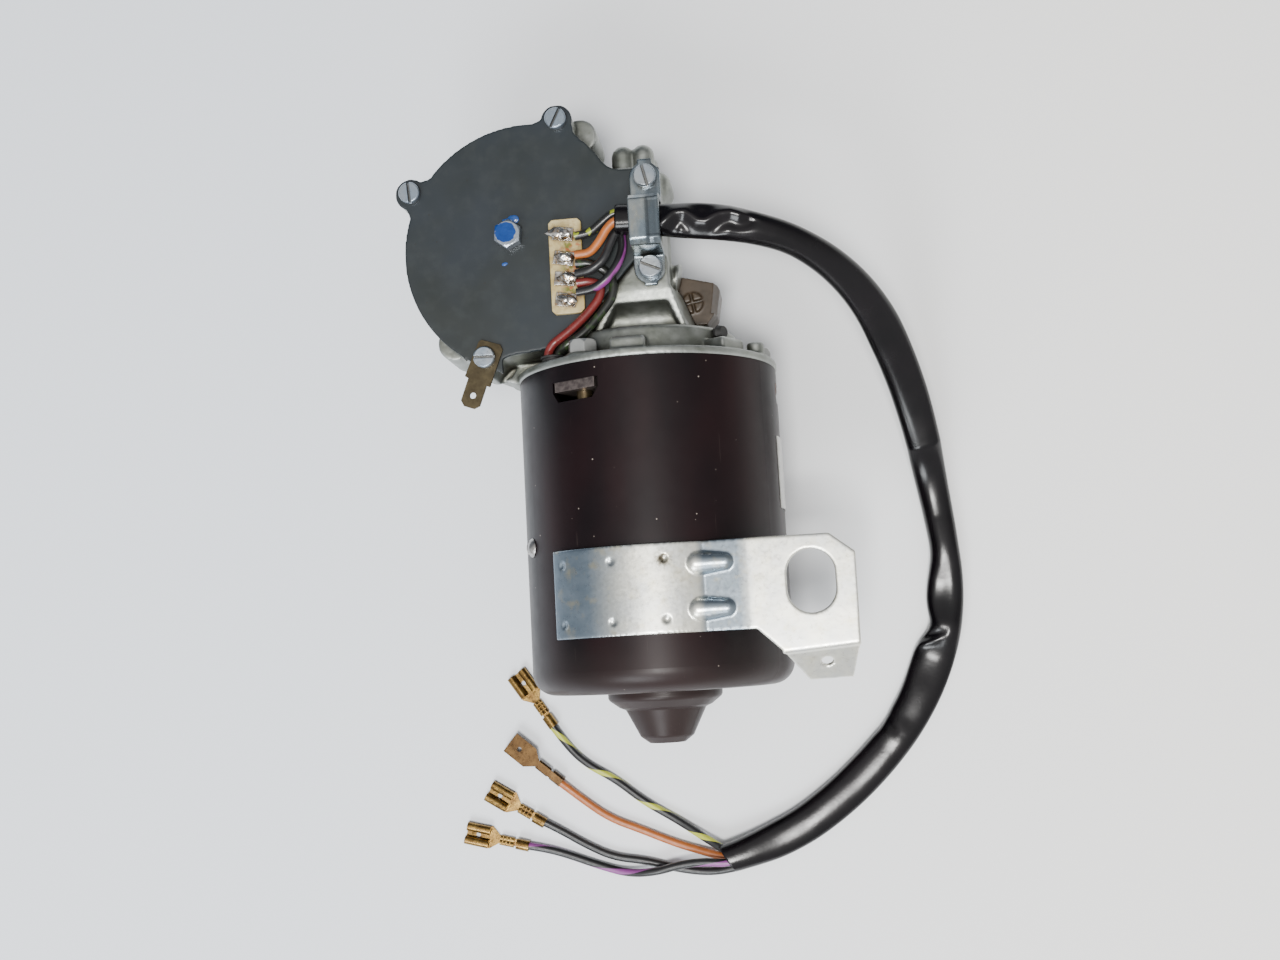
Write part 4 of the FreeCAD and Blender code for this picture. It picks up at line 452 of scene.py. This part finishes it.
def solder():
    """Bright lumpy solder, grey in patches and brown with flux round the rim, with painted shade in its
    hollows.
    """
    blob = Finish("solder")
    base = blob.mix(blob.span(blob.noise(1.8, 2), 0.42, 0.60), (0.66, 0.64, 0.61), (0.26, 0.235, 0.21))
    flux = blob.span(blob.noise(1.5, 2, shift=(5, 2, 0)), 0.56, 0.66, 0, 0.8)
    base = blob.mix(flux, base, (0.42, 0.25, 0.10))
    # Dark brown in hollows and corners by ambient occlusion: painted shade.
    base = blob.mix(blob.both(blob.creases(1.2), 0.8), base, (0.05, 0.028, 0.012))
    skin = blob.bump(blob.noise(2.4, 1), 0.18, blob.round_edges(0.3))
    return blob.shade(Base_Color=base, Metallic=0.95, Roughness=0.17, Normal=skin)


def bolt_finish():
    """Zinc head above the flange, brassy oily thread inside the can, painted shade in the corners."""
    bolt = Finish("bolt_finish")
    tint = bolt.mix(bolt.noise(2, 3), (0.42, 0.43, 0.42), (0.56, 0.57, 0.55))
    brassy = bolt.mix(bolt.noise(1, 3), (0.07, 0.05, 0.03), (0.17, 0.13, 0.07))
    tint = bolt.mix(bolt.along("Y", -1, -4), tint, brassy)
    # Darker in corners and gaps by ambient occlusion: painted shade.
    tint = bolt.mix(bolt.both(bolt.creases(1.6), 0.7), tint, (0.05, 0.045, 0.035))
    return bolt.shade(Base_Color=tint, Metallic=0.9, Roughness=0.34, Normal=bolt.round_edges(0.3))


def lacquer():
    """Blue sealing lacquer, thick and glossy."""
    paint = Finish("lacquer")
    base = paint.mix(paint.noise(1.2, 3), (0.012, 0.05, 0.21), (0.03, 0.10, 0.32))
    skin = paint.bump(paint.noise(1.1, 2), 0.05)
    return paint.shade(Base_Color=base, Roughness=0.25, Normal=skin, Coat_Weight=0.3)


def painted_hexagon():
    """Zinc hexagon whose top is covered with blue sealing lacquer, with painted shade in its corners."""
    screw = Finish("painted_hexagon")
    zinc_tint = screw.mix(screw.noise(3, 3), (0.42, 0.47, 0.54), (0.33, 0.36, 0.40))
    # Darker in corners and gaps by ambient occlusion: painted shade.
    zinc_tint = screw.mix(screw.both(screw.creases(1.6), 0.8), zinc_tint, (0.05, 0.05, 0.06))
    patch = screw.near((HEXAGON[0] - 0.5, HEXAGON[1] + 0.3, COVER_TOP + 4), 2.9, 3.6)
    spill = screw.near((HEXAGON[0] - 3.2, HEXAGON[1] + 1.5, COVER_TOP + 2), 1.6, 3.4)
    whole = screw.sum("MAXIMUM", patch, spill)
    ragged = screw.span(screw.noise(1.3, 3), 0.25, 0.75, -0.35, 0.35)
    cover = screw.span(screw.sum("ADD", whole, ragged), 0.42, 0.62)
    paint = screw.mix(screw.noise(1.6, 3), (0.004, 0.024, 0.13), (0.012, 0.055, 0.22))
    colour = screw.mix(cover, zinc_tint, paint)
    metal = screw.span(cover, 0, 1, 0.9, 0.0)
    skin = screw.bump(screw.noise(2.2, 2), 0.22, screw.round_edges(0.4))
    return screw.shade(Base_Color=colour, Metallic=metal, Roughness=0.24, Normal=skin,
                       Specular_IOR_Level=0.22)


def plain(name, dark, light, size=3.0, rough=0.5, metal=0.0, depth=0.02, edge=0.3):
    """Two tones in fine patches over a slightly uneven skin, with painted shade in corners and gaps."""
    stuff = Finish(name)
    base = stuff.mix(stuff.span(stuff.noise(size, 4), 0.35, 0.65), dark, light)
    # The dark tone, darker still, in corners and gaps by ambient occlusion: painted shade.
    base = stuff.mix(stuff.both(stuff.creases(1.5), 0.5), base, [0.3 * part for part in dark])
    roughness = stuff.span(stuff.noise(size / 2, 3), 0.3, 0.7, rough - 0.08, rough + 0.08)
    skin = stuff.bump(stuff.noise(0.5, 3), depth, stuff.round_edges(edge))
    return stuff.shade(Base_Color=base, Roughness=roughness, Metallic=metal, Normal=skin)


def floor_finish():
    """White sheet, with painted shade making it a little cooler and darker on the left than on the right.
    """
    sheet = Finish("floor_sheet")
    # Cooler and darker towards the left: painted shade.
    tint = sheet.mix(sheet.along("X", -140, 170), (0.78, 0.82, 0.88), (0.92, 0.915, 0.90))
    return sheet.shade(Base_Color=tint, Roughness=0.75, Specular_IOR_Level=0.2)


def copper_wire():
    """Enamelled copper wound in fine turns."""
    wire = Finish("copper_wire")
    turns = wire.add("TexWave", "Fac", {"Vector": wire.where, "Scale": 320.0, "Distortion": 1.0})
    base = wire.mix(turns, (0.28, 0.075, 0.02), (0.50, 0.18, 0.06))
    return wire.shade(Base_Color=base, Metallic=0.7, Roughness=0.35, Normal=wire.bump(turns, 0.15))


FINISHES = {
    "can_paint": can_paint(),
    "cast_alloy": cast_alloy(),
    "cover_paint": cover_paint(),
    "zinc_sheet": zinc("zinc_sheet", (0.42, 0.48, 0.53), (0.66, 0.66, 0.58), 0.7, 0.20, 0.34),
    "zinc_screw": zinc("zinc_screw", (0.30, 0.36, 0.43), (0.44, 0.47, 0.49), 0.85, 0.24, 0.38),
    "black_rubber": plain("black_rubber", (0.012, 0.012, 0.012), (0.022, 0.022, 0.022), rough=0.6),
    "strip_plastic": strip_board(),
    "solder_tab": solder(),
    "aged_brass": brass("aged_brass", (0.30, 0.19, 0.055), (0.145, 0.082, 0.026),
                        (0.035, 0.018, 0.009), 0.75, 0.26),
    "yellow_green_pvc": insulation("yellow_green_pvc", (0.012, 0.012, 0.013), (0.40, 0.42, 0.045)),
    "orange_pvc": insulation("orange_pvc", (0.40, 0.115, 0.026)),
    "black_pvc": insulation("black_pvc", (0.014, 0.014, 0.015)),
    "violet_pvc": insulation("violet_pvc", (0.013, 0.013, 0.014), (0.20, 0.045, 0.20)),
    "red_pvc": insulation("red_pvc", (0.155, 0.020, 0.018), None, 0.28),
    "sleeve_pvc": sleeve_pvc(),
    "brown_plastic": plain("brown_plastic", (0.036, 0.024, 0.013), (0.056, 0.038, 0.022), 5, 0.42),
    "turned_steel": plain("turned_steel", (0.34, 0.33, 0.32), (0.48, 0.47, 0.46), 2, 0.32, 0.95, 0.005),
    "core_steel": plain("core_steel", (0.13, 0.13, 0.13), (0.22, 0.22, 0.22), 1, 0.45, 0.8),
    "copper_wire": copper_wire(),
    "bronze_bush": plain("bronze_bush", (0.32, 0.19, 0.08), (0.42, 0.27, 0.12), 1, 0.4, 0.85),
    "gear_plastic": plain("gear_plastic", (0.62, 0.58, 0.46), (0.72, 0.68, 0.56), 6, 0.4),
    "board": plain("board", (0.20, 0.10, 0.04), (0.28, 0.15, 0.06), 2, 0.5),
    "carbon": plain("carbon", (0.02, 0.02, 0.02), (0.04, 0.04, 0.04), 1, 0.5),
    "label_foil": plain("label_foil", (0.50, 0.50, 0.48), (0.60, 0.60, 0.58), 4, 0.35, 0.7, 0.01),
    "gasket_cork": plain("gasket_cork", (0.02, 0.02, 0.018), (0.05, 0.045, 0.035), 1, 0.7),
}
NODE_FINISHES = {
    "mounting_bracket": bracket_zinc(),
    "cable_clamp": clamp_zinc(),
    "through_bolts": bolt_finish(),
    "axle_adjusting_screw": painted_hexagon(),
    "lead_yellow_green": patched_insulation("lead_green_patches", (0.012, 0.012, 0.012),
                                            (0.22, 0.26, 0.02), 2.4, 0.60, 0.64),
    "lead_violet": patched_insulation("lead_violet_side", (0.012, 0.012, 0.013), (0.20, 0.035, 0.19),
                                      9.0, 0.36, 0.42, (0.70, -0.70, 0.15)),
    "motor_lead_black": patched_insulation("lead_dark_green", (0.012, 0.013, 0.011),
                                           (0.022, 0.038, 0.014), 2.0, 0.52, 0.62),
    "bolt_nuts": plain("nut_steel", (0.13, 0.105, 0.10), (0.24, 0.20, 0.185), 1.6, 0.38, 0.9, 0.02),
    "receptacle_2": brass("brown_brass", (0.085, 0.048, 0.018), (0.05, 0.027, 0.011),
                          (0.02, 0.011, 0.006), 0.5, 0.30),
    "earth_tab": brass("earth_brass", (0.080, 0.064, 0.036), (0.052, 0.041, 0.024),
                       (0.045, 0.035, 0.02), 0.6, 0.45),
}


SLOTS = {row["node"]: row["material_slot"] for row in frame["record"]["subparts"]}


def dress(thing, finish):
    thing.data.materials.clear()
    thing.data.materials.append(finish)


def dress_nodes():
    for name, node in frame["nodes"].items():
        dress(node, NODE_FINISHES.get(name, FINISHES[SLOTS[name]]))


# ---------------------------------------------------------------- mesh helpers

def mesh_piece(name, points, faces, slot, finish=None):
    data = bpy.data.meshes.new(name)
    data.from_pydata([tuple(point) for point in points], [], faces)
    data.shade_smooth()
    made = bpy.data.objects.new(name, data)
    bpy.context.scene.collection.objects.link(made)
    dress(made, finish or FINISHES[slot])
    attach(made, FRAME)
    return made


def soften(node, voxel, rounds, keep=1.0, grow=0.0):
    """Stand-in for a cast, pressed or moulded CAD node, with its corners and edges rounded."""
    source = frame["nodes"][node]
    made = source.copy()
    made.data = source.data.copy()
    for key in list(made.keys()):
        del made[key]
    made.parent = None
    made.name = made.data.name = node + "_skin"
    bpy.context.scene.collection.objects.link(made)
    remesh = made.modifiers.new("remesh", "REMESH")
    remesh.mode = "VOXEL"
    remesh.voxel_size = voxel * MM
    remesh.use_smooth_shade = True
    if grow:
        swell = made.modifiers.new("swell", "DISPLACE")
        swell.mid_level = 0.0
        swell.strength = grow * MM
    smooth = made.modifiers.new("smooth", "SMOOTH")
    smooth.factor = 0.5
    smooth.iterations = rounds
    if keep < 1.0:
        thin = made.modifiers.new("thin", "DECIMATE")
        thin.ratio = keep
    settle(made)
    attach(made, source["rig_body"])
    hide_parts(node)


def settle(made):
    """Apply every modifier to the mesh."""
    graph = bpy.context.evaluated_depsgraph_get()
    data = bpy.data.meshes.new_from_object(made.evaluated_get(graph))
    made.modifiers.clear()
    made.data = data
    data.name = made.name


def spline_line(route, step):
    """Points every step metres along the NURBS spline that a route's points control."""
    data = bpy.data.curves.new("route", "CURVE")
    data.dimensions = "3D"
    data.resolution_u = 48
    spline = data.splines.new("NURBS")
    spline.points.add(len(route) - 1)
    for point, place in zip(spline.points, route):
        point.co = (*place, 1)
    spline.order_u = 3
    spline.use_endpoint_u = True
    made = bpy.data.objects.new("route", data)
    bpy.context.scene.collection.objects.link(made)
    bpy.context.view_layer.update()
    mesh = bpy.data.meshes.new_from_object(made)
    line = np.array([vertex.co for vertex in mesh.vertices], float)
    bpy.data.objects.remove(made)
    bpy.data.meshes.remove(mesh)
    along = np.concatenate([[0], np.cumsum(np.linalg.norm(np.diff(line, axis=0), axis=1))])
    count = max(2, int(round(along[-1] / step)))
    wanted = np.linspace(0, along[-1], count + 1)
    return np.stack([np.interp(wanted, along, line[:, k]) for k in range(3)], 1), wanted


def level_frames(line):
    """For each point of a line its run, its level side direction and the upright one."""
    run = np.gradient(line, axis=0)
    run /= np.linalg.norm(run, axis=1)[:, None]
    side = np.cross(run, (0, 0, 1))
    side /= np.linalg.norm(side, axis=1)[:, None]
    return run, side, np.cross(side, run)


def skin_rings(rings):
    """Points and faces of a tube through rings of equal size, closed by one face at each end."""
    count, size = len(rings), len(rings[0])
    points = [point for ring in rings for point in ring]
    faces = []
    for i in range(count - 1):
        for k in range(size):
            following = (k + 1) % size
            near, far = i * size, (i + 1) * size
            faces.append((near + k, near + following, far + following, far + k))
    faces.append(tuple(reversed(range(size))))
    faces.append(tuple((count - 1) * size + k for k in range(size)))
    return points, faces


camera()
studio()
dress_nodes()

# ---------------------------------------------------------------- harness

SLEEVE_ROUTE = [
    (-4.2, 45.3, 68.7), (13.0, 44.2, 68.7), (33.0, 41.5, 68.0), (54.0, 35.5, 59.5),
    (71.5, 22.5, 42.5), (81.8, 2.5, 25.7), (88.8, -22.0, 11.9), (92.8, -48.0, 5.6),
    (94.4, -73.0, 3.8), (88.2, -97.0, 3.6), (74.6, -118.5, 3.8), (55.4, -137.8, 3.7),
    (33.0, -152.2, 3.6), (14.0, -157.2, 3.6)]
TAIL_WIRES = {
    "wire_yellow_green": [(21.3, -154.1, 4.6), (15.5, -155.6, 4.6), (8.0, -151.0, 2.0), (-1.5, -144.6, 0.0),
                          (-13.5, -137.4, -0.2), (-23.0, -129.5, -0.2), (-33.0, -123.8, -0.2),
                          (-39.5, -117.0, -0.1), (-44.6, -109.2, 0.3)],
    "wire_orange": [(21.3, -156.1, 1.8), (15.5, -157.6, 1.8), (6.5, -155.0, 0.6), (-3.5, -151.8, -0.2),
                    (-14.5, -147.0, -0.2), (-25.5, -142.6, -0.2), (-35.0, -135.6, -0.1),
                    (-42.6, -129.3, 0.5)],
    "wire_black": [(21.8, -159.0, 2.2), (16.0, -160.6, 2.2), (7.0, -161.8, 0.0), (-3.5, -160.2, -0.2),
                   (-13.5, -157.2, -0.2), (-25.0, -155.6, -0.2), (-35.0, -150.6, -0.2),
                   (-42.5, -146.0, -0.1), (-48.9, -142.6, 0.3)],
    "wire_violet": [(21.3, -157.1, 5.4), (15.5, -158.6, 5.4), (6.0, -157.6, 5.0), (-1.5, -158.4, 4.0),
                    (-10.5, -160.6, 3.8), (-20.0, -161.2, 0.6), (-30.5, -158.0, -0.2),
                    (-41.0, -154.0, -0.2), (-48.5, -151.8, 0.0), (-54.8, -150.6, 0.3)],
}
WIRE_RADIUS = 1.35
SLEEVE_WALL = 0.65
# where the stripe starts round the wire and how far it turns per metre, in turns
STRIPES = {"wire_yellow_green": (0.42, 50.0), "wire_violet": (0.05, 27.0)}
# a crease on top of the sleeve, by place along it and place across it, in millimetres
CREASE = [(14.2, 3.4), (15.8, 1.4), (18.2, -1.4), (21.4, -1.9), (25.4, 1.1), (27.8, 1.2), (31.4, -1.7),
          (34.6, -3.0), (37.2, -2.4)]
# half width of the sleeve on the inside and on the outside of its bend
INNER = [(0, 4.7), (6, 4.4), (12, 4.6), (16, 5.3), (24, 5.7), (33, 5.6), (44, 4.9), (56, 4.5), (70, 5.0),
         (88, 5.8), (104, 6.3), (126, 6.0), (150, 5.8), (168, 5.1), (182, 4.7), (188, 6.0), (195, 7.2),
         (202, 6.8), (207, 4.9), (209, 4.3), (211.5, 6.0), (216, 7.9), (224, 7.9), (234, 6.9), (244, 6.4),
         (247, 5.4), (250, 6.2), (266, 6.5), (284, 6.4), (302, 6.0), (312, 5.3), (320, 4.8)]
OUTER = [(0, 4.7), (12, 4.5), (24, 5.4), (33, 5.4), (44, 4.8), (60, 4.7), (80, 5.5), (102, 6.3), (130, 6.1),
         (160, 5.2), (182, 4.9), (200, 5.4), (220, 5.8), (242, 6.2), (272, 6.2), (302, 6.0), (312, 5.2),
         (320, 4.8)]


def reading(table, s):
    """A table's value at s, averaged over a short stretch so that it changes gently."""
    places, values = zip(*table)
    return np.interp(s + np.linspace(-3.5, 3.5, 9), places, values).mean()


def from_line(route, s, across):
    """How far a spot on the flattened sleeve is from a line, and on which side of it it lies."""
    best, side = 1e9, 1.0
    spot = Vector((s, across))
    for start, end in zip(route, route[1:]):
        first, run = Vector(start), Vector(end) - Vector(start)
        share = min(1.0, max(0.0, (spot - first).dot(run) / run.length_squared))
        away = spot - first - run * share
        if away.length < best:
            best = away.length
            side = math.copysign(1.0, run.x * away.y - run.y * away.x)
    return best, side


def folded(s, across, upper):
    """Height of the folds, in millimetres, at a spot on the sleeve's upper side."""
    height = 0.0
    if s < 46:
        away, side = from_line(CREASE, s, across)
        height += 0.95 * math.exp(-(away / 1.8) ** 2)
        height -= 0.95 * math.exp(-((away - 3.4) / 1.9) ** 2) * (1.0 if side > 0 else 0.2)
    kink = s - 209.5 - 0.55 * across
    height += 1.0 * math.exp(-((kink - 2.6) / 1.6) ** 2) * min(1.0, max(0.0, across / 4))
    height -= 1.2 * math.exp(-(kink / 1.8) ** 2) * min(1.0, max(0.0, (across + 1) / 5))
    dent = s - 247 + 0.4 * across
    height -= 0.7 * math.exp(-(dent / 2.0) ** 2) * min(1.0, max(0.0, across / 5))
    slope = (across - 1.5) / 3.0
    height -= 0.5 * math.exp(-((s - 196) / 9) ** 2) * math.exp(-slope * slope)
    return height * upper


def sleeve():
    """The PVC sleeve: flattened where it lies, creased by the clamp and open at both ends."""
    line, along = spline_line([at(*point) for point in SLEEVE_ROUTE], 0.6 * MM)
    along = along / MM
    run, side, up = level_frames(line)
    rings, centres = [], []
    sides = 72
    for i, s in enumerate(along):
        inner, outer = reading(INNER, s), reading(OUTER, s)
        half_width = (inner + outer) / 2
        half_height = min(4.4, 0.72 * math.sqrt(60 - half_width * half_width))
        height = line[i][2] / MM
        lying = min(1.0, max(0.0, (14 - height) / 6))
        centre = line[i] + side[i] * (inner - outer) / 2 * MM
        centre = centre + (0, 0, lying * (half_height + 0.25 - height) * MM)
        centres.append(centre)
        ring = []
        for k in range(sides):
            angle = 2 * math.pi * k / sides
            c, d = math.cos(angle), math.sin(angle)
            across = half_width * math.copysign(abs(c) ** 0.85, c)
            above = half_height * math.copysign(abs(d) ** 0.85, d)
            wave = 0.07 * math.sin(0.11 * s + 2 * angle) + 0.05 * math.sin(0.23 * s - angle + 1)
            rise = folded(s, across, max(0.0, d) ** 0.5) + wave * max(0.0, d)
            offset = Vector(side[i]) * across + Vector(up[i]) * (above + rise)
            ring.append(Vector(centre) + offset * MM)
        rings.append(ring)
    cut_obliquely(rings, centres)
    inside_start = hollow(rings[:14], centres[:14])
    inside_end = hollow(rings[-1:-18:-1], centres[-1:-18:-1])
    whole = list(reversed(inside_start)) + rings + inside_end
    points, faces = skin_rings(whole)
    made = mesh_piece("sleeve_tube", points, faces, "sleeve_pvc")
    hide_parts("harness_sleeve")


def cut_obliquely(rings, centres):
    """Lean the last few rings, so that the sleeve looks cut at a slant."""
    last = centres[-1]
    run = (Vector(centres[-1]) - Vector(centres[-4])).normalized()
    level = run.cross(Vector((0, 0, 1))).normalized()
    for back, share in enumerate((1.0, 0.8, 0.6, 0.4, 0.2)):
        rings[-1 - back] = [point + run * (0.32 * share * (point - Vector(last)).dot(level))
                            for point in rings[-1 - back]]


def hollow(rings, centres):
    """Rings of the bore, from the mouth inwards."""
    made = []
    for ring, centre in zip(rings, centres):
        middle = Vector(centre)
        bore = []
        for point in ring:
            arm = point - middle
            bore.append(middle + arm * (1 - SLEEVE_WALL * MM / arm.length))
        made.append(bore)
    return made


def round_wire(name, route, slot, stripe=None, sides=20):
    """A wire along its route in place of its CAD node; returns it, its line and lengths along it."""
    line, along = spline_line([at(*point) for point in route], 0.5 * MM)
    run, side, up = level_frames(line)
    rings = []
    marks = []
    for i, place in enumerate(line):
        middle, level, upright = Vector(place), Vector(side[i]), Vector(up[i])
        ring = []
        for k in range(sides):
            angle = 2 * math.pi * k / sides
            ring.append(middle + (level * math.cos(angle) + upright * math.sin(angle)) * WIRE_RADIUS * MM)
            if stripe:
                start, turns = stripe
                off = math.remainder(angle / (2 * math.pi) - start - turns * along[i], 1.0)
                marks.append(min(1.0, max(0.0, 2.0 - abs(off) * 12)))
        rings.append(ring)
    points, faces = skin_rings(rings)
    made = mesh_piece(name + "_tube", points, faces, slot)
    if stripe:
        layer = made.data.attributes.new("stripe", "FLOAT", "POINT")
        layer.data.foreach_set("value", np.array(marks, np.float32))
    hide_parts(name)
    return made, line, along


def tail():
    """The four wires from the sleeve's mouth to their receptacles."""
    for number, (name, route) in enumerate(TAIL_WIRES.items(), start=1):
        slot = name.replace("wire_", "") + "_pvc"
        made, line, along = round_wire(name, route, slot=slot, stripe=STRIPES.get(name))


sleeve()
tail()

# ---------------------------------------------------------------- solder, lacquer and glue

def lump(name, place, half, turn, slot, finish, rough=0.18, point=0.0, grain=1.6):
    """An uneven lump, half its size in millimetres each way; point draws its left end in."""
    ball = bmesh.new()
    bmesh.ops.create_icosphere(ball, subdivisions=5, radius=1)
    points = []
    turned = Matrix.Rotation(math.radians(turn), 3, "Z")
    for vertex in ball.verts:
        spot = vertex.co
        seat = Vector(place) + Vector([a * b for a, b in zip(spot, half)])
        bulge = 1 + rough * noise.noise(seat / grain) + 0.2 * rough * noise.noise(seat / grain * 2.3)
        slim = 1 - point * max(0.0, -spot.x) ** 1.5
        shape = (spot.x * half[0], spot.y * half[1] * slim, spot.z * half[2] * (0.5 + 0.5 * slim))
        grown = Vector(shape) * bulge
        points.append(at(*(Vector(place) + turned @ grown)))
    faces = [[vertex.index for vertex in face.verts] for face in ball.faces]
    ball.free()
    return mesh_piece(name, points, faces, slot, finish=finish)


def small_lumps():
    """Solder on the strip's joints and dabs of sealing lacquer on the cover."""
    joint = FINISHES["solder_tab"]
    shapes = [((-22.6, 43.3), (3.9, 2.0, 1.5), -9), ((-21.2, 35.7), (3.1, 1.8, 1.4), -14),
              ((-20.6, 28.9), (3.2, 1.8, 1.5), -10), ((-21.0, 22.0), (3.2, 1.9, 1.5), -14)]
    for number, ((x, y), half, turn) in enumerate(shapes, start=1):
        lump("solder_%d" % number, (x, y, STRIP_TOP + 0.6), half, turn, "solder_tab", joint, 0.30, 0.55)
    blue = lacquer()
    dabs = [((-38.0, 49.6, COVER_TOP), (2.6, 1.5, 0.8), 8), ((-40.6, 35.9, COVER_TOP), (1.3, 0.6, 0.35), 6),
            ((-19.2, 47.4, COVER_TOP + 0.2), (1.5, 1.0, 0.8), 0)]
    for number, (place, half, turn) in enumerate(dabs, start=1):
        lump("lacquer_%d" % number, place, half, turn, "zinc_screw", blue, 0.5, 0.2)


small_lumps()

# ---------------------------------------------------------------- cast and pressed skins

soften("gear_housing", 0.50, 5, 0.35, 0.05)
soften("cover_plate", 0.40, 4, 0.5)
soften("cable_clamp", 0.22, 14, 0.5, 0.10)
soften("mounting_bracket", 0.30, 5, 0.5, 0.12)
soften("breather_cap", 0.30, 3)
soften("terminal_strip", 0.25, 3)

# ---------------------------------------------------------------- floor and end

floor_data = bpy.data.meshes.new("floor")
floor_data.from_pydata([(-4, -4, 0), (4, -4, 0), (4, 4, 0), (-4, 4, 0)], [], [(0, 1, 2, 3)])
floor = bpy.data.objects.new("floor", floor_data)
bpy.context.scene.collection.objects.link(floor)
floor.data.materials.append(floor_finish())
